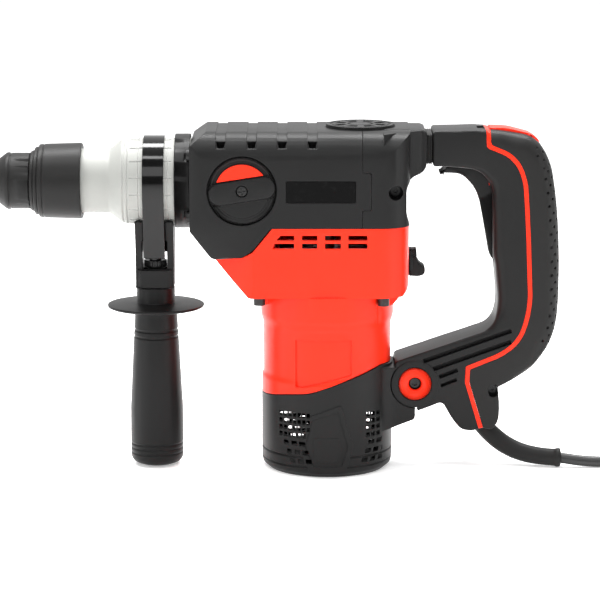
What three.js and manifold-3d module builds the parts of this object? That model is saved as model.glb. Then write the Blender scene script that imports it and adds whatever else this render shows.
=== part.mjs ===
// Rotary hammer with a vertical motor, a horizontal tool axis and a damped rear handle.
// Millimetres, +Z up, chuck towards -X. The origin is the motor axis on the flat base of the end cap.
import * as THREE from 'three';
import { mergeVertices } from 'three/addons/utils/BufferGeometryUtils.js';
import Module from 'manifold-3d';

const wasm = await Module();
wasm.setup();

// Driving dimensions
const TOOL_Z = 202; // height of the tool axis
const SEAM_Z = 175.3; // gear cover meets motor housing
const TOP_Z = 241; // top of the gearbox
const HALF_WIDTH = 44.5; // gearbox, across
const MOTOR_R = 44.8; // motor housing, round part
const SHELL = 3.4; // wall of the plastic shells
const GAP = 0.3; // between touching pieces
const BARREL_R = 29.9;
const NECK_R = 22.4;
const CRANK_X = 22.8; // crank axis
const BEVEL_X = -24.1; // bevel shaft axis
const STROKE = 22; // of the piston
const TEETH = { pinion: 7, crank: 28, bevel: 30 };
const PEGS = 6; // teeth of the bevel pinion
const RING_TEETH = 3 * PEGS;
const MODULE = (2 * CRANK_X) / (TEETH.pinion + TEETH.crank);
const PIVOT = { x: 61.3, z: 61.5 }; // rear handle hinge
const SIDE_X = -120; // side handle
const HANDLE_HALF = 19.5; // rear handle, across
const CORD_R = 3.9;
const COIL = { x: 263, y: 41, inner: 34.1, outer: 57.9, height: 23.4 };

// Colours
const BLACK = [0x2a2a2a, 0.55, 0];
const RED = [0xe8402c, 0.4, 0];
const RUBBER = [0x232323, 0.8, 0];
const GREY = [0xc8cac4, 0.6, 0.1];
const STEEL = [0x9a9da0, 0.35, 1];
const COPPER = [0xb06a3c, 0.4, 1];
const GLOSS = [0x0c0c0c, 0.12, 0.3];

// A closed three.js geometry as a solid with its faces pointing out.
function solid(geometry) {
  const bare = geometry.index ? geometry.toNonIndexed() : geometry.clone();
  bare.deleteAttribute('normal');
  bare.deleteAttribute('uv');
  const merged = mergeVertices(bare, 1e-4);
  const at = merged.attributes.position;
  const corners = [0, 1, 2].map(() => new THREE.Vector3());
  const faces = [];
  let volume = 0;
  for (let i = 0; i < merged.index.count; i += 3) {
    const face = [0, 1, 2].map((k) => merged.index.getX(i + k));
    if (face[0] === face[1] || face[1] === face[2] || face[2] === face[0]) continue;
    face.forEach((vertex, k) => corners[k].fromBufferAttribute(at, vertex));
    volume += corners[0].dot(corners[1].clone().cross(corners[2]));
    faces.push(face);
  }
  const triVerts = new Uint32Array(faces.flatMap((f) => (volume < 0 ? [f[0], f[2], f[1]] : f)));
  return new wasm.Manifold(new wasm.Mesh({ numProp: 3, vertProperties: at.array, triVerts }));
}

function geometryOf(body) {
  const mesh = body.getMesh();
  const geometry = new THREE.BufferGeometry();
  geometry.setAttribute('position', new THREE.BufferAttribute(new Float32Array(mesh.vertProperties), 3));
  geometry.setIndex(new THREE.BufferAttribute(new Uint32Array(mesh.triVerts), 1));
  return geometry;
}

const largest = (body) => body.decompose().sort((a, b) => b.volume() - a.volume())[0];
const join = (...bodies) => bodies.reduce((a, b) => a.add(b));
const cut = (body, ...tools) => tools.reduce((a, b) => a.subtract(b), body);

// Outline from [u, v, corner] points; a corner radius rounds that point, up to nearly half of each side.
function outline(points) {
  const shape = new THREE.Shape();
  const count = points.length;
  points.forEach(([u, v, r = 0], i) => {
    const here = new THREE.Vector2(u, v);
    const back = new THREE.Vector2(...points[(i + count - 1) % count]).sub(here);
    const ahead = new THREE.Vector2(...points[(i + 1) % count]).sub(here);
    const reach = Math.min(r, 0.48 * back.length(), 0.48 * ahead.length());
    const from = here.clone().addScaledVector(back.normalize(), reach);
    if (i === 0) shape.moveTo(from.x, from.y);
    else shape.lineTo(from.x, from.y);
    const to = here.clone().addScaledVector(ahead.normalize(), reach);
    if (reach > 0) shape.quadraticCurveTo(u, v, to.x, to.y);
  });
  return shape;
}

// Extrusions of an outline: along Y from an XZ outline, along X from YZ, along Z from XY.
function extruded(shape, depth, curveSegments) {
  return new THREE.ExtrudeGeometry(shape, { depth, bevelEnabled: false, curveSegments });
}

const shapeOf = (points) => (points instanceof THREE.Shape ? points : outline(points));

function alongY(points, y0, y1, steps = 2) {
  return solid(extruded(shapeOf(points), y1 - y0, steps).rotateX(Math.PI / 2).translate(0, y1, 0));
}

function alongX(points, x0, x1, steps = 4) {
  const flat = extruded(shapeOf(points), x1 - x0, steps);
  return solid(flat.rotateX(Math.PI / 2).rotateZ(Math.PI / 2).translate(x0, 0, 0));
}

function alongZ(points, z0, z1, steps = 4) {
  return solid(extruded(shapeOf(points), z1 - z0, steps).translate(0, 0, z0));
}

function box(x0, x1, y0, y1, z0, z1) {
  const block = new THREE.BoxGeometry(x1 - x0, y1 - y0, z1 - z0);
  return solid(block.translate((x0 + x1) / 2, (y0 + y1) / 2, (z0 + z1) / 2));
}

// Turned pieces from [position along the axis, radius] points; the profile closes on itself.
function turned(profile, segments) {
  const points = [...profile, profile[0]].map(([along, r]) => new THREE.Vector2(r, along));
  return new THREE.LatheGeometry(points, segments);
}

const turnedX = (profile, segments = 20) => solid(turned(profile, segments).rotateZ(-Math.PI / 2));
const turnedZ = (profile, segments = 20) => solid(turned(profile, segments).rotateX(Math.PI / 2));
const rod = (a, b, r) => [[a, 0], [a, r], [b, r], [b, 0]];
const tube = (a, b, inner, outer) => [[a, inner], [a, outer], [b, outer], [b, inner]];
const rodX = (x0, x1, r, y, z, n = 14) => turnedX(rod(x0, x1, r), n).translate([0, y, z]);
const rodZ = (z0, z1, r, x, y, n = 14) => turnedZ(rod(z0, z1, r), n).translate([x, y, 0]);
const rodY = (y0, y1, r, x, z, n = 16) => solid(
  new THREE.LatheGeometry(rod(y0, y1, r).map(([a, b]) => new THREE.Vector2(b, a)), n),
).translate([x, 0, z]);

// Open path of [x, z, corner] points as a ribbon of a given width, extruded along Y.
function ribbon(points, width, y0, y1) {
  const path = new THREE.Path();
  points.forEach(([u, v, r = 0], i) => {
    const here = new THREE.Vector2(u, v);
    if (i === 0) path.moveTo(u, v);
    if (i === 0 || i === points.length - 1) return path.lineTo(u, v);
    const back = new THREE.Vector2(...points[i - 1]).sub(here);
    const ahead = new THREE.Vector2(...points[i + 1]).sub(here);
    const reach = Math.min(r, 0.48 * back.length(), 0.48 * ahead.length());
    const from = here.clone().addScaledVector(back.normalize(), reach);
    const to = here.clone().addScaledVector(ahead.normalize(), reach);
    path.lineTo(from.x, from.y);
    if (reach > 0) path.quadraticCurveTo(u, v, to.x, to.y);
  });
  const middle = path.getPoints(2).filter((p, i, all) => i === 0 || p.distanceTo(all[i - 1]) > 0.3);
  const side = (sign) => middle.map((p, i) => {
    const a = middle[Math.max(i - 1, 0)];
    const b = middle[Math.min(i + 1, middle.length - 1)];
    const run = b.clone().sub(a).normalize();
    return [p.x - sign * run.y * width / 2, p.y + sign * run.x * width / 2];
  });
  return alongY([...side(1), ...side(-1).reverse()], y0, y1);
}

// Tube along a curve; the ring of a helix or cord has few sides.
function wire(points, radius, sides, steps) {
  const ring = new THREE.Shape();
  for (let i = 0; i < sides; i += 1) {
    const a = (2 * Math.PI * i) / sides;
    if (i === 0) ring.moveTo(radius * Math.cos(a), radius * Math.sin(a));
    else ring.lineTo(radius * Math.cos(a), radius * Math.sin(a));
  }
  const extrudePath = new THREE.CatmullRomCurve3(points.map((p) => new THREE.Vector3(...p)));
  return solid(new THREE.ExtrudeGeometry(ring, { steps, extrudePath, bevelEnabled: false }));
}

// Helical spring along X about (y, z).
function springX(x0, x1, y, z, radius, wireR, turns) {
  const perTurn = 8;
  const points = [];
  for (let i = 0; i <= turns * perTurn; i += 1) {
    const a = (2 * Math.PI * i) / perTurn;
    const x = x0 + wireR + ((x1 - x0 - 2 * wireR) * i) / (turns * perTurn);
    points.push([x, y + radius * Math.cos(a), z + radius * Math.sin(a)]);
  }
  return wire(points, wireR, 5, turns * perTurn);
}

// Toothed wheel about Z: straight-flanked teeth, thinner than the gap so that pairs run free.
function gear(count, z0, z1, x, phase) {
  const pitch = (MODULE * count) / 2;
  const root = pitch - 1.2 * MODULE;
  const tip = pitch + 0.75 * MODULE;
  const points = [];
  for (let i = 0; i < count; i += 1) {
    const a = phase + (2 * Math.PI * i) / count;
    const wide = (0.62 * MODULE) / root;
    const thin = (0.3 * MODULE) / tip;
    [[root, -wide], [tip, -thin], [tip, thin], [root, wide]].forEach(([r, d]) => {
      points.push([x + r * Math.cos(a + d), r * Math.sin(a + d)]);
    });
  }
  return alongZ(points, z0, z1);
}

const nodes = new THREE.Group();

function add(name, body, [color, roughness, metalness], parent = nodes) {
  const material = new THREE.MeshStandardMaterial({ color, roughness, metalness });
  const mesh = new THREE.Mesh(geometryOf(body), material);
  mesh.name = name;
  parent.add(mesh);
}

// Groups: everything on the tool axis is modelled about z = 0 and raised together.
const toolLine = new THREE.Group();
toolLine.position.z = TOOL_Z;
const sideHandle = new THREE.Group();
sideHandle.position.x = SIDE_X;
const rearHandle = new THREE.Group();
nodes.add(toolLine, sideHandle, rearHandle);

function buildChuck() {
  add('dust_cap', turnedX([
    [-228.4, 5.8], [-228.4, 15.4], [-222.4, 19.9], [-220.1, 20], [-219.2, 19.5],
    [-206.2, 19.5], [-206.2, 10.5], [-223.6, 10.5], [-223.6, 5.8],
  ]), RUBBER, toolLine);
  add('lock_sleeve', turnedX([
    [-205.8, 11.5], [-205.8, 21.2], [-202.9, 21.2], [-202.9, 23.5], [-199.7, 23.5], [-199.7, 25.5],
    [-196.6, 25.7], [-170.2, 26.4], [-170.2, 22.9], [-200, 22.9], [-200, 11.5],
  ]), RUBBER, toolLine);
  add('tool_holder', turnedX([
    [-223.3, 5.1], [-223.3, 10], [-184, 10], [-184, 14], [-180, 14], [-180, 12],
    [-148.5, 12], [-148.5, 14.5], [-130, 14.5], [-130, 8.2], [-170, 8.2], [-170, 5.1],
  ]), STEEL, toolLine);
  add('chuck_spring', springX(-199.7, -184.3, 0, 0, 12.3, 0.8, 4), STEEL, toolLine);
}

function buildBarrel() {
  add('barrel_housing', turnedX([
    [-172, 12.5], [-172, NECK_R], [-150.7, NECK_R], [-142.7, 29.2], [-139, BARREL_R], [-94.7, BARREL_R],
    [-94.7, 25], [-72, 25], [-72, 15.2], [-149, 15.2], [-149, 12.5],
  ], 28), GREY, toolLine);
  const notches = screwSpots().map(([y, z]) => rodX(-110, -90, 4.5, y, z - TOOL_Z));
  const ring = turnedX(tube(-105.5, -94.8, BARREL_R + GAP, 32.8), 28);
  add('front_collar', cut(ring, ...notches), BLACK, toolLine);
  screwSpots().forEach(([y, z], i) => {
    const screw = join(rodX(-97, -91.4, 4, y, z, 16), rodX(-92, -66, 2.2, y, z, 12));
    add(`barrel_screw_${i + 1}`, screw, STEEL);
  });
}

const screwSpots = () => [[-28.5, 223.5], [-28.5, 180.5], [28.5, 223.5], [28.5, 180.5]];

function buildStriker() {
  const cylinder = { outer: 14.2, inner: 11.4, x0: -129.7, x1: -14 };
  const bore = tube(cylinder.x0, cylinder.x1, cylinder.inner, cylinder.outer);
  add('cylinder', turnedX(bore), STEEL, toolLine);
  add('beat_piece', turnedX(rod(-166, -124, 7.9)), STEEL, toolLine);
  add('striker', turnedX([[-112, 0], [-112, 7], [-106, 7], [-106, 11], [-84, 11], [-84, 0]]), STEEL, toolLine);
  add('piston', turnedX([
    [-66, 0], [-66, 11], [-36, 11], [-36, 8.7], [-60, 8.7], [-60, 0],
  ]), STEEL, toolLine);
  const eyeX = CRANK_X - STROKE / 2;
  const rodShape = outline([
    [-56.5, -5, 3], [-44, -5, 3], [-40, -3, 2], [eyeX - 12, -3, 2], [eyeX - 5, -8, 4], [eyeX + 8.5, -8, 5],
    [eyeX + 8.5, 8, 5], [eyeX - 5, 8, 4], [eyeX - 12, 3, 2], [-40, 3, 2], [-44, 5, 3], [-56.5, 5, 3],
  ]);
  add('con_rod', cut(alongZ(rodShape, -3.5, 3.5), rodZ(-5, 5, 4.6, eyeX, 0)), STEEL, toolLine);
  const ring = turnedX(tube(-42, -33.6, cylinder.outer + GAP, 20.3));
  const teeth = [];
  for (let i = 0; i < RING_TEETH; i += 1) {
    const tooth = alongZ([[-34, -1], [-34, 1], [-31.4, 0.45], [-31.4, -0.45]], -20.2, -15.2);
    teeth.push(tooth.rotate([(360 * (i + 0.5)) / RING_TEETH, 0, 0]));
  }
  add('bevel_ring', join(ring, ...teeth), STEEL, toolLine);
}

function buildGears() {
  const pinX = CRANK_X - STROKE / 2;
  const half = Math.PI / TEETH.crank;
  add('crank_gear', join(
    rodZ(171.5, 179.5, 5, CRANK_X, 0), gear(TEETH.crank, 179, 186, CRANK_X, half + Math.PI),
    rodZ(185.5, 190, 16, CRANK_X, 0, 20), rodZ(189.5, 197.6, 4, pinX, 0),
  ), STEEL);
  const pinion = [];
  for (let i = 0; i < PEGS; i += 1) {
    const tooth = box(BEVEL_X - 7, BEVEL_X, -0.6, 0.6, 181.4, 186.6).translate([-BEVEL_X, 0, 0]);
    pinion.push(tooth.rotate([0, 0, (360 * i) / PEGS]).translate([BEVEL_X, 0, 0]));
  }
  add('bevel_shaft', join(
    rodZ(171.5, 178, 4, BEVEL_X, 0), gear(TEETH.bevel, 177.6, 181.2, BEVEL_X, 0),
    rodZ(181, 186.6, 4.4, BEVEL_X, 0), ...pinion,
  ), STEEL);
}

// Across-section of the gearbox shells, for inner and outer walls.
const gearboxSection = (half, top, bottom) => [
  [-half, bottom], [half, bottom], [half, top, 19], [-half, top, 19],
];

const COVER = [
  [-94.4, 172.7], [-79.2, 153.2, 3], [-59, 155], [-51.7, 159.6, 3], [-39.1, SEAM_Z, 2], [23.5, SEAM_Z],
  [23.5, 187.7], [29.5, 187.7], [29.5, 213.3], [23.5, 213.3], [23.5, TOP_Z], [-85.6, TOP_Z, 3], [-94.4, 237],
];
const REAR = [
  [23.8, SEAM_Z], [56.4, SEAM_Z], [54, 181], [53.7, 206, 8], [68, 211], [68, 238.8], [23.8, TOP_Z],
  [23.8, 213.6], [29.8, 213.6], [29.8, 187.4], [23.8, 187.4],
];
const KNOB = { x: -58.6, z: 201, r: 23 };

function buildGearbox() {
  const outer = alongX(gearboxSection(HALF_WIDTH, TOP_Z, 150), -100, 30);
  const inner = alongX(gearboxSection(HALF_WIDTH - SHELL, TOP_Z - SHELL, 150), -91, 31);
  const coverShell = alongY(COVER, -50, 50).intersect(outer);
  const capSeat = rodZ(239.2, 245, 24.1, CRANK_X, 0, 28);
  const lobe = box(-95, -36, -50, 50, 150, SEAM_Z + 1);
  const hollow = cut(inner, lobe.subtract(box(-88, -44, -40, 40, 158, SEAM_Z + 2)));
  const knobSeat = rodY(-50, -40.8, KNOB.r + 0.7, KNOB.x, KNOB.z, 28);
  const knobWall = rodY(-41.5, -36, KNOB.r + 3, KNOB.x, KNOB.z, 24);
  const knobHole = rodY(-50, -30, 6.3, KNOB.x, KNOB.z);
  const plateSeat = box(-28.6, 19.1, -50, -HALF_WIDTH + 0.8, 192.7, 207.8);
  const holes = screwSpots().map(([y, z]) => rodX(-100, -60, 2.5, y, z, 12));
  const pockets = screwSpots().map(([y, z]) => rodX(-100, -91, 4.5, y, z, 16));
  const mouth = rodX(-100, -80, 25.4, 0, TOOL_Z, 28);
  add('gear_cover', cut(
    join(cut(coverShell, hollow), knobWall.intersect(outer)),
    knobSeat, knobHole, plateSeat, capSeat, mouth, ...holes, ...pockets,
  ), BLACK);

  const wide = alongX(gearboxSection(HALF_WIDTH, TOP_Z, 150), 20, 56.8);
  const arm = alongX([[-20.5, 205, 5], [20.5, 205, 5], [20.5, 243, 7], [-20.5, 243, 7]], 40, 70);
  const rearInner = alongX(gearboxSection(HALF_WIDTH - SHELL, TOP_Z - SHELL, 150), 20, 50.2);
  const rearShell = cut(alongY(REAR, -50, 50).intersect(join(wide, arm)), rearInner);
  const springSeat = rodX(48, 75, 8.5, 0, 226);
  add('rear_housing', cut(rearShell, springSeat, capSeat), BLACK);
  add('crank_cap', rodZ(239.5, 242, 23.8, CRANK_X, 0, 28), BLACK);
}

function buildSelector() {
  const { x, z, r } = KNOB;
  const bar = alongY([[-22.5, -8, 8], [22.5, -8, 8], [22.5, 8, 8], [-22.5, 8, 8]], -46, -43);
  const insertShape = new THREE.Shape();
  insertShape.absarc(0, 0, 17.5, 0.5, Math.PI - 0.5, false);
  const seat = alongY(insertShape, -50, -42.7).translate([0, 0, GAP]);
  const knob = join(rodY(-43.5, -41.1, r, 0, 0, 28), rodY(-41.5, -34, 6, 0, 0), bar);
  const screwHole = rodY(-50, -42, 4.2, 0, 0);
  const tilt = (body) => body.rotate([0, -8.7, 0]).translate([x, 0, z]);
  add('selector_knob', tilt(cut(knob, seat.subtract(alongY([[-30, -20], [30, -20], [30, 8.2], [-30, 8.2]],
    -51, -40)), screwHole)), BLACK);
  const insert = alongY(insertShape, -44.4, -43);
  add('selector_insert', tilt(insert.subtract(alongY([[-30, -20], [30, -20], [30, 8.8], [-30, 8.8]], -51, -40))
    ), RED);
  add('selector_screw', tilt(rodY(-45.3, -42.3, 3.9, 0, 0, 16)), STEEL);
  add('name_plate', box(-28.3, 18.8, -HALF_WIDTH - 0.1, -HALF_WIDTH + 1.1, 193, 207.5)
    .subtract(box(-30, 20, -HALF_WIDTH + 0.5, -40, 190, 210)), GLOSS);
}

// The sloped parting line between the red motor housing and the end cap.
const PARTING = [[-60, 54], [-45, 54], [-28.6, 58], [-12.5, 60], [38, 77.3], [46, 75], [60, 75]];
const BOLTS = [[-47, -30], [-47, 30], [38.6, -32], [38.6, 32]];

function buildMotorHousing() {
  const block = alongY([
    [-38, SEAM_Z - GAP], [-51.2, 158.8], [-59, 154.4], [-79, 152.8], [-52, 124, 3], [-46, 117], [44.2, 117],
    [56.1, 130.5, 2], [56.1, SEAM_Z - GAP],
  ], -50, 50).intersect(alongX([[-HALF_WIDTH, 100, 4], [HALF_WIDTH, 100, 4], [HALF_WIDTH, 180],
    [-HALF_WIDTH, 180]], -90, 60));
  const outer = join(block, rodZ(40, 150, MOTOR_R, 0, 0, 36));
  const cavity = join(rodZ(30, 168, MOTOR_R - SHELL - 0.4, 0, 0, 36), box(-36, 52, -41, 41, 134, 168));
  const above = alongY([...PARTING, [60, 190], [-90, 190], [-90, 54]], -60, 60);
  const bores = [
    rodZ(160, 180, 13.3, 0, 0, 20), rodZ(171.2, 180, 5.3, CRANK_X, 0), rodZ(171.2, 180, 4.3, BEVEL_X, 0),
    rodX(50, 60, 4.4, 0, 145.5),
  ];
  const boltHoles = BOLTS.flatMap(([x, y]) => [rodZ(100, 126.4, 4.6, x, y, 16), rodZ(110, 160.4, 2.6, x, y, 12)]);
  const vents = [];
  [[166.9, 170.4], [161.1, 164.9]].forEach(([z0, z1]) => {
    [[-33, -22], [-17, -6], [-2, 9], [14, 27]].forEach(([x0, x1]) => {
      vents.push(box(x0, x1, -50, -38, z0, z1), box(x0, x1, 38, 50, z0, z1));
    });
  });
  const body = cut(outer.intersect(above), cavity, ...bores, ...boltHoles, ...vents);
  add('motor_housing', body, RED);
  BOLTS.forEach(([x, y], i) => {
    const bolt = join(rodZ(119.5, 126, 4.1, x, y, 16), rodZ(125.5, 160, 2.2, x, y, 12));
    add(`motor_bolt_${i + 1}`, bolt, STEEL);
  });
  const wing = box(63, 68.2, -8, 8, 143, 148);
  add('rear_knob', join(rodX(56.6, 63.4, 10, 0, 145.5), rodX(51, 57, 4, 0, 145.5), wing), BLACK);
}

function buildEndCap() {
  const cap = turnedZ([
    [0, 0], [0, 40.5], [4.5, 45.2], [100, 45.2], [100, 41.6], [6, 41.6], [6, 16], [24, 16], [24, 11.3],
    [13, 11.3], [13, 0],
  ], 36);
  const under = alongY([
    [-60, 0], [-60, 53.7], [-45, 53.7], [-28.6, 57.7], [-12.5, 59.7], [38, 77], [46, 74.7], [66, 74.7], [66, 0],
  ], -60, 60);
  const lug = cut(
    alongY([[38, 28], [44.7, 30], [61.6, 36.4], [61.6, 71.5], [44.5, 71.5], [38, 71.5]], -19, 19),
    rodY(-30, 30, 17.2, PIVOT.x, PIVOT.z, 28), box(PIVOT.x - 3, 70, -30, 30, 50, 80),
  );
  const tongue = join(rodY(-7.8, 7.8, 11, PIVOT.x, PIVOT.z, 20), box(43, PIVOT.x, -7.8, 7.8, 52, 69));
  const well = rodZ(6, 120, 41.6, 0, 0, 36);
  const lugs = cut(join(lug, tongue), well);
  const vents = [];
  for (let row = 0; row < 3; row += 1) {
    [-33, 20].forEach((x0) => {
      const x = x0 + 2 * row;
      const z = 20.5 - 5.5 * row;
      vents.push(box(x, x + 14, -50, -28, z, z + 3), box(x, x + 14, 28, 50, z, z + 3));
    });
  }
  const pinHole = rodY(-30, 30, 4.8, PIVOT.x, PIVOT.z);
  add('end_cap', cut(join(cap.intersect(under), lugs), pinHole, ...vents), BLACK);
}

function buildMotor() {
  add('armature', join(
    rodZ(14, 52, 4, 0, 0), rodZ(28, 46, 12, 0, 0, 16), rodZ(50, 126, 16, 0, 0, 16), rodZ(60, 116, 21, 0, 0, 20),
    rodZ(120, 177.2, 5, 0, 0), gear(TEETH.pinion, 177, 188, 0, 0),
  ), STEEL);
  add('stator', turnedZ(tube(64, 114, 22.3, 38.5), 24), COPPER);
  const blades = [];
  for (let i = 0; i < 9; i += 1) {
    blades.push(box(9, 35, -0.8, 0.8, 142, 156).rotate([0, 0, 40 * i]));
  }
  add('fan', join(turnedZ(tube(140, 142.5, 5.3, 36)), turnedZ(tube(142, 156, 5.3, 9.5)), ...blades), BLACK);
  add('upper_bearing', turnedZ(tube(168.5, 175, 5.3, 13)), STEEL);
  add('lower_bearing', turnedZ(tube(13.4, 22, 4.3, 11)), STEEL);
  add('brush_1', box(-3, 3, -28, -12.4, 33, 41), STEEL);
  add('brush_2', box(-3, 3, 12.4, 28, 33, 41), STEEL);
}

// Rear handle, seen from the side: outer line, the line of the red trim, and the trigger.
const HANDLE = [
  [72.4, 214.4], [72.4, 238.8], [112, 239.8, 12], [143.3, 234.6, 9], [154.5, 217.5, 9], [158.5, 192, 14],
  [161.4, 160, 16], [161.4, 117.5, 14], [159.9, 101.4, 8], [152.7, 82.4, 9], [139.3, 68.7, 8], [119.4, 58.7, 1],
  [120.7, 45, 4], [120.1, 35, 3], [115.5, 28.3, 1.5], [108.9, 30, 1.5], [101.6, 27.6, 1.5], [93.8, 28.5, 3],
  [87.5, 36, 4], [80.5, 48.4, 3], [63, 42, 2], [62.6, 45, 0.5], [51.5, 48, 8], [44.9, 61.5, 8], [50.4, 78.3, 5],
  [115.6, 100.7, 8], [119.1, 117.5, 8], [116.3, 145.5], [114.8, 151.7], [113.5, 201.5, 10], [104, 212, 6],
  [82.7, 214.4, 2],
];
const TRIM = [
  [110.3, 245], [110.9, 228.4, 2], [128, 221.6, 8], [136.2, 207, 9], [138.6, 175, 12], [141.2, 115, 14],
  [134.2, 92.7, 9], [122, 82.6, 6], [98.1, 72.9, 1], [97.7, 62.4, 1], [108.8, 26],
];
const INSIDE_TRIM = [...TRIM.map(([x, z]) => [x, z]), [60, 20], [20, 20], [20, 245]];
const TRIGGER = [
  [78.5, 208.5], [82.7, 212.3], [104, 212.3, 3], [122, 203, 6], [121, 150, 2], [117, 145.8, 1],
  [112.9, 150.8], [103.8, 197, 12], [92.7, 208, 4],
];
const POCKET = [
  [77, 207], [76, 218.5], [106, 218.5, 3], [129.6, 207, 4], [129.6, 145], [111, 144.6], [108, 190], [90, 207],
];

// Room inside the shells for the switch and the wires.
const HOLLOW = [
  [78, 221], [78, 232.5], [112, 233.4], [137, 229, 9], [147.5, 214, 9], [151.6, 191, 12], [154.6, 160, 12],
  [154.6, 118, 12], [153, 103, 8], [147, 88, 8], [135.5, 75, 8], [113.6, 65], [113.6, 38], [97.5, 37.5],
  [91.5, 45], [86, 55], [80, 54], [80, 81], [112, 91.5, 6], [123.5, 104, 6], [125.5, 118], [122, 146],
  [121, 200], [108, 221],
];

// Corner points of an open path moved to its right-hand side by a distance.
function shifted(points, distance) {
  return points.map(([u, v, r = 0], i) => {
    const here = new THREE.Vector2(u, v);
    const before = points[Math.max(i - 1, 0)];
    const after = points[Math.min(i + 1, points.length - 1)];
    const back = here.clone().sub(new THREE.Vector2(before[0], before[1])).normalize();
    const ahead = new THREE.Vector2(after[0], after[1]).sub(here).normalize();
    const run = back.add(ahead).normalize();
    return [u + run.y * distance, v - run.x * distance, r];
  });
}

// The solid that the rubber skin wraps: the back line moved in, closed well inside the trim.
function backBlock(wall) {
  const back = shifted(HANDLE.slice(2, 16), wall);
  const front = TRIM.slice(1, -1).reverse().map(([x, z]) => [x - 3, z]);
  const outlinePoints = [...back, [104, 32], ...front];
  return alongY(outlinePoints, -HANDLE_HALF + wall - 0.6, HANDLE_HALF - wall + 0.6);
}

function buildRearHandle() {
  const full = alongY(HANDLE, -HANDLE_HALF, HANDLE_HALF);
  const inside = alongY(INSIDE_TRIM, -30, 30);
  const groove = (width, from) => [
    ribbon(TRIM, width, -30, -from), ribbon(TRIM, width, from, 30),
  ];
  const cavity = alongY(HOLLOW, -12.5, 12.5);
  const tongueSlot = join(
    rodY(-8.3, 8.3, 16, PIVOT.x, PIVOT.z, 20), box(40, PIVOT.x - 2, -8.3, 8.3, 49.5, 72),
  );
  const pocket = alongY(POCKET, -8.6, 8.6);
  const ringSeats = join(
    rodY(-30, -17.3, 11.8, PIVOT.x, PIVOT.z, 20), rodY(17.3, 30, 11.8, PIVOT.x, PIVOT.z, 20),
    rodY(-30, 30, 4.8, PIVOT.x, PIVOT.z),
  );
  const springSeat = rodX(60, 88.4, 8.5, 0, 226);
  const cableExit = rodZ(-30, 14, 7.2, 0, 0, 16).rotate([0, -38, 0]).translate([105.5, 0, 34]);
  const body = cut(
    join(full.intersect(inside), backBlock(3.2).intersect(full)),
    cavity, tongueSlot, pocket, ringSeats, springSeat, cableExit, ...groove(3.4, 16.7),
  );
  add('handle_left', body.intersect(box(40, 170, -30, -0.15, 0, 260)), BLACK, rearHandle);
  add('handle_right', body.intersect(box(40, 170, 0.15, 30, 0, 260)), BLACK, rearHandle);
  add('rear_grip', largest(cut(
    full, inside, backBlock(2.8), cableExit, ribbon(TRIM, 0.8, -30, 30), ...groove(3.4, 16.7),
  )), RUBBER, rearHandle);
  const trim = full.intersect(ribbon(TRIM, 2.8, -30, 30));
  add('handle_trim_left', trim.intersect(box(90, 170, -30, -17, 20, 245)), RED, rearHandle);
  add('handle_trim_right', trim.intersect(box(90, 170, 17, 30, 20, 245)), RED, rearHandle);
  add('trigger', alongY(TRIGGER, -7.8, 7.8), RUBBER, rearHandle);
  add('switch', box(127, 138, -8, 8, 108, 143), BLACK, rearHandle);
  add('pivot_pin', rodY(-17, 17, 4.4, PIVOT.x, PIVOT.z), STEEL, rearHandle);
  const ringAt = (y0, y1) => cut(rodY(y0, y1, 11.4, PIVOT.x, PIVOT.z, 20), rodY(-30, 30, 4, PIVOT.x, PIVOT.z));
  add('pivot_ring_left', ringAt(-20.5, -17.6), RED, rearHandle);
  add('pivot_ring_right', ringAt(17.6, 20.5), RED, rearHandle);
  const frill = alongX([[-17, 215.4, 4], [17, 215.4, 4], [17, 237, 4], [-17, 237, 4]], 68.3, 72.1);
  add('bellows', frill.subtract(rodX(60, 80, 9, 0, 226)), RUBBER);
  add('damping_spring', springX(50.5, 87.8, 0, 226, 6.5, 0.9, 6), STEEL);
}

// Cord: out of the strain relief, along the floor and into a coil beyond the handle.
const GUARD = [[109.8, 0, 28.5], [114, -0.6, 23.6], [121, -2, 17.2], [130, -4.4, 11.8], [140, -7, 8.6],
  [151, -9.6, 7.2], [163, -11.6, 6.9]];
const CORD = [[164.6, -11.9, 6.6], [171, -12.5, 5.6], [180, -13, 4.5], [190, -13, 4.1], [210, -13, 4.1],
  [232, -13, 4.1]];

function buildCord() {
  const guard = join(wire(GUARD, 6.3, 12, 18), wire(GUARD.slice(-2), 6.8, 12, 1)
    .intersect(box(158, 170, -30, 10, 0, 20)));
  add('cord_guard', guard, RUBBER);
  add('cord', wire(CORD, CORD_R, 10, 10), RUBBER);
  const ring = turnedZ(tube(0.2, COIL.height, COIL.inner, COIL.outer), 32);
  add('cord_coil', ring.translate([COIL.x, COIL.y, 0]), RUBBER);
  const base = COIL.height + GAP;
  const plug = alongZ([[-26, -8, 5], [6, -18, 6], [16, -13, 4], [16, 13, 4], [6, 18, 6], [-26, 8, 5]],
    base, base + 15);
  const pins = [-9.5, 9.5].map((y) => rodX(15, 34, 2.4, y, base + 7.5, 12));
  const turnedPlug = join(plug, ...pins).rotate([0, 0, 80]).translate([COIL.x + 40, COIL.y + 19.3, 0]);
  add('plug', turnedPlug, RUBBER);
}

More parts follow.
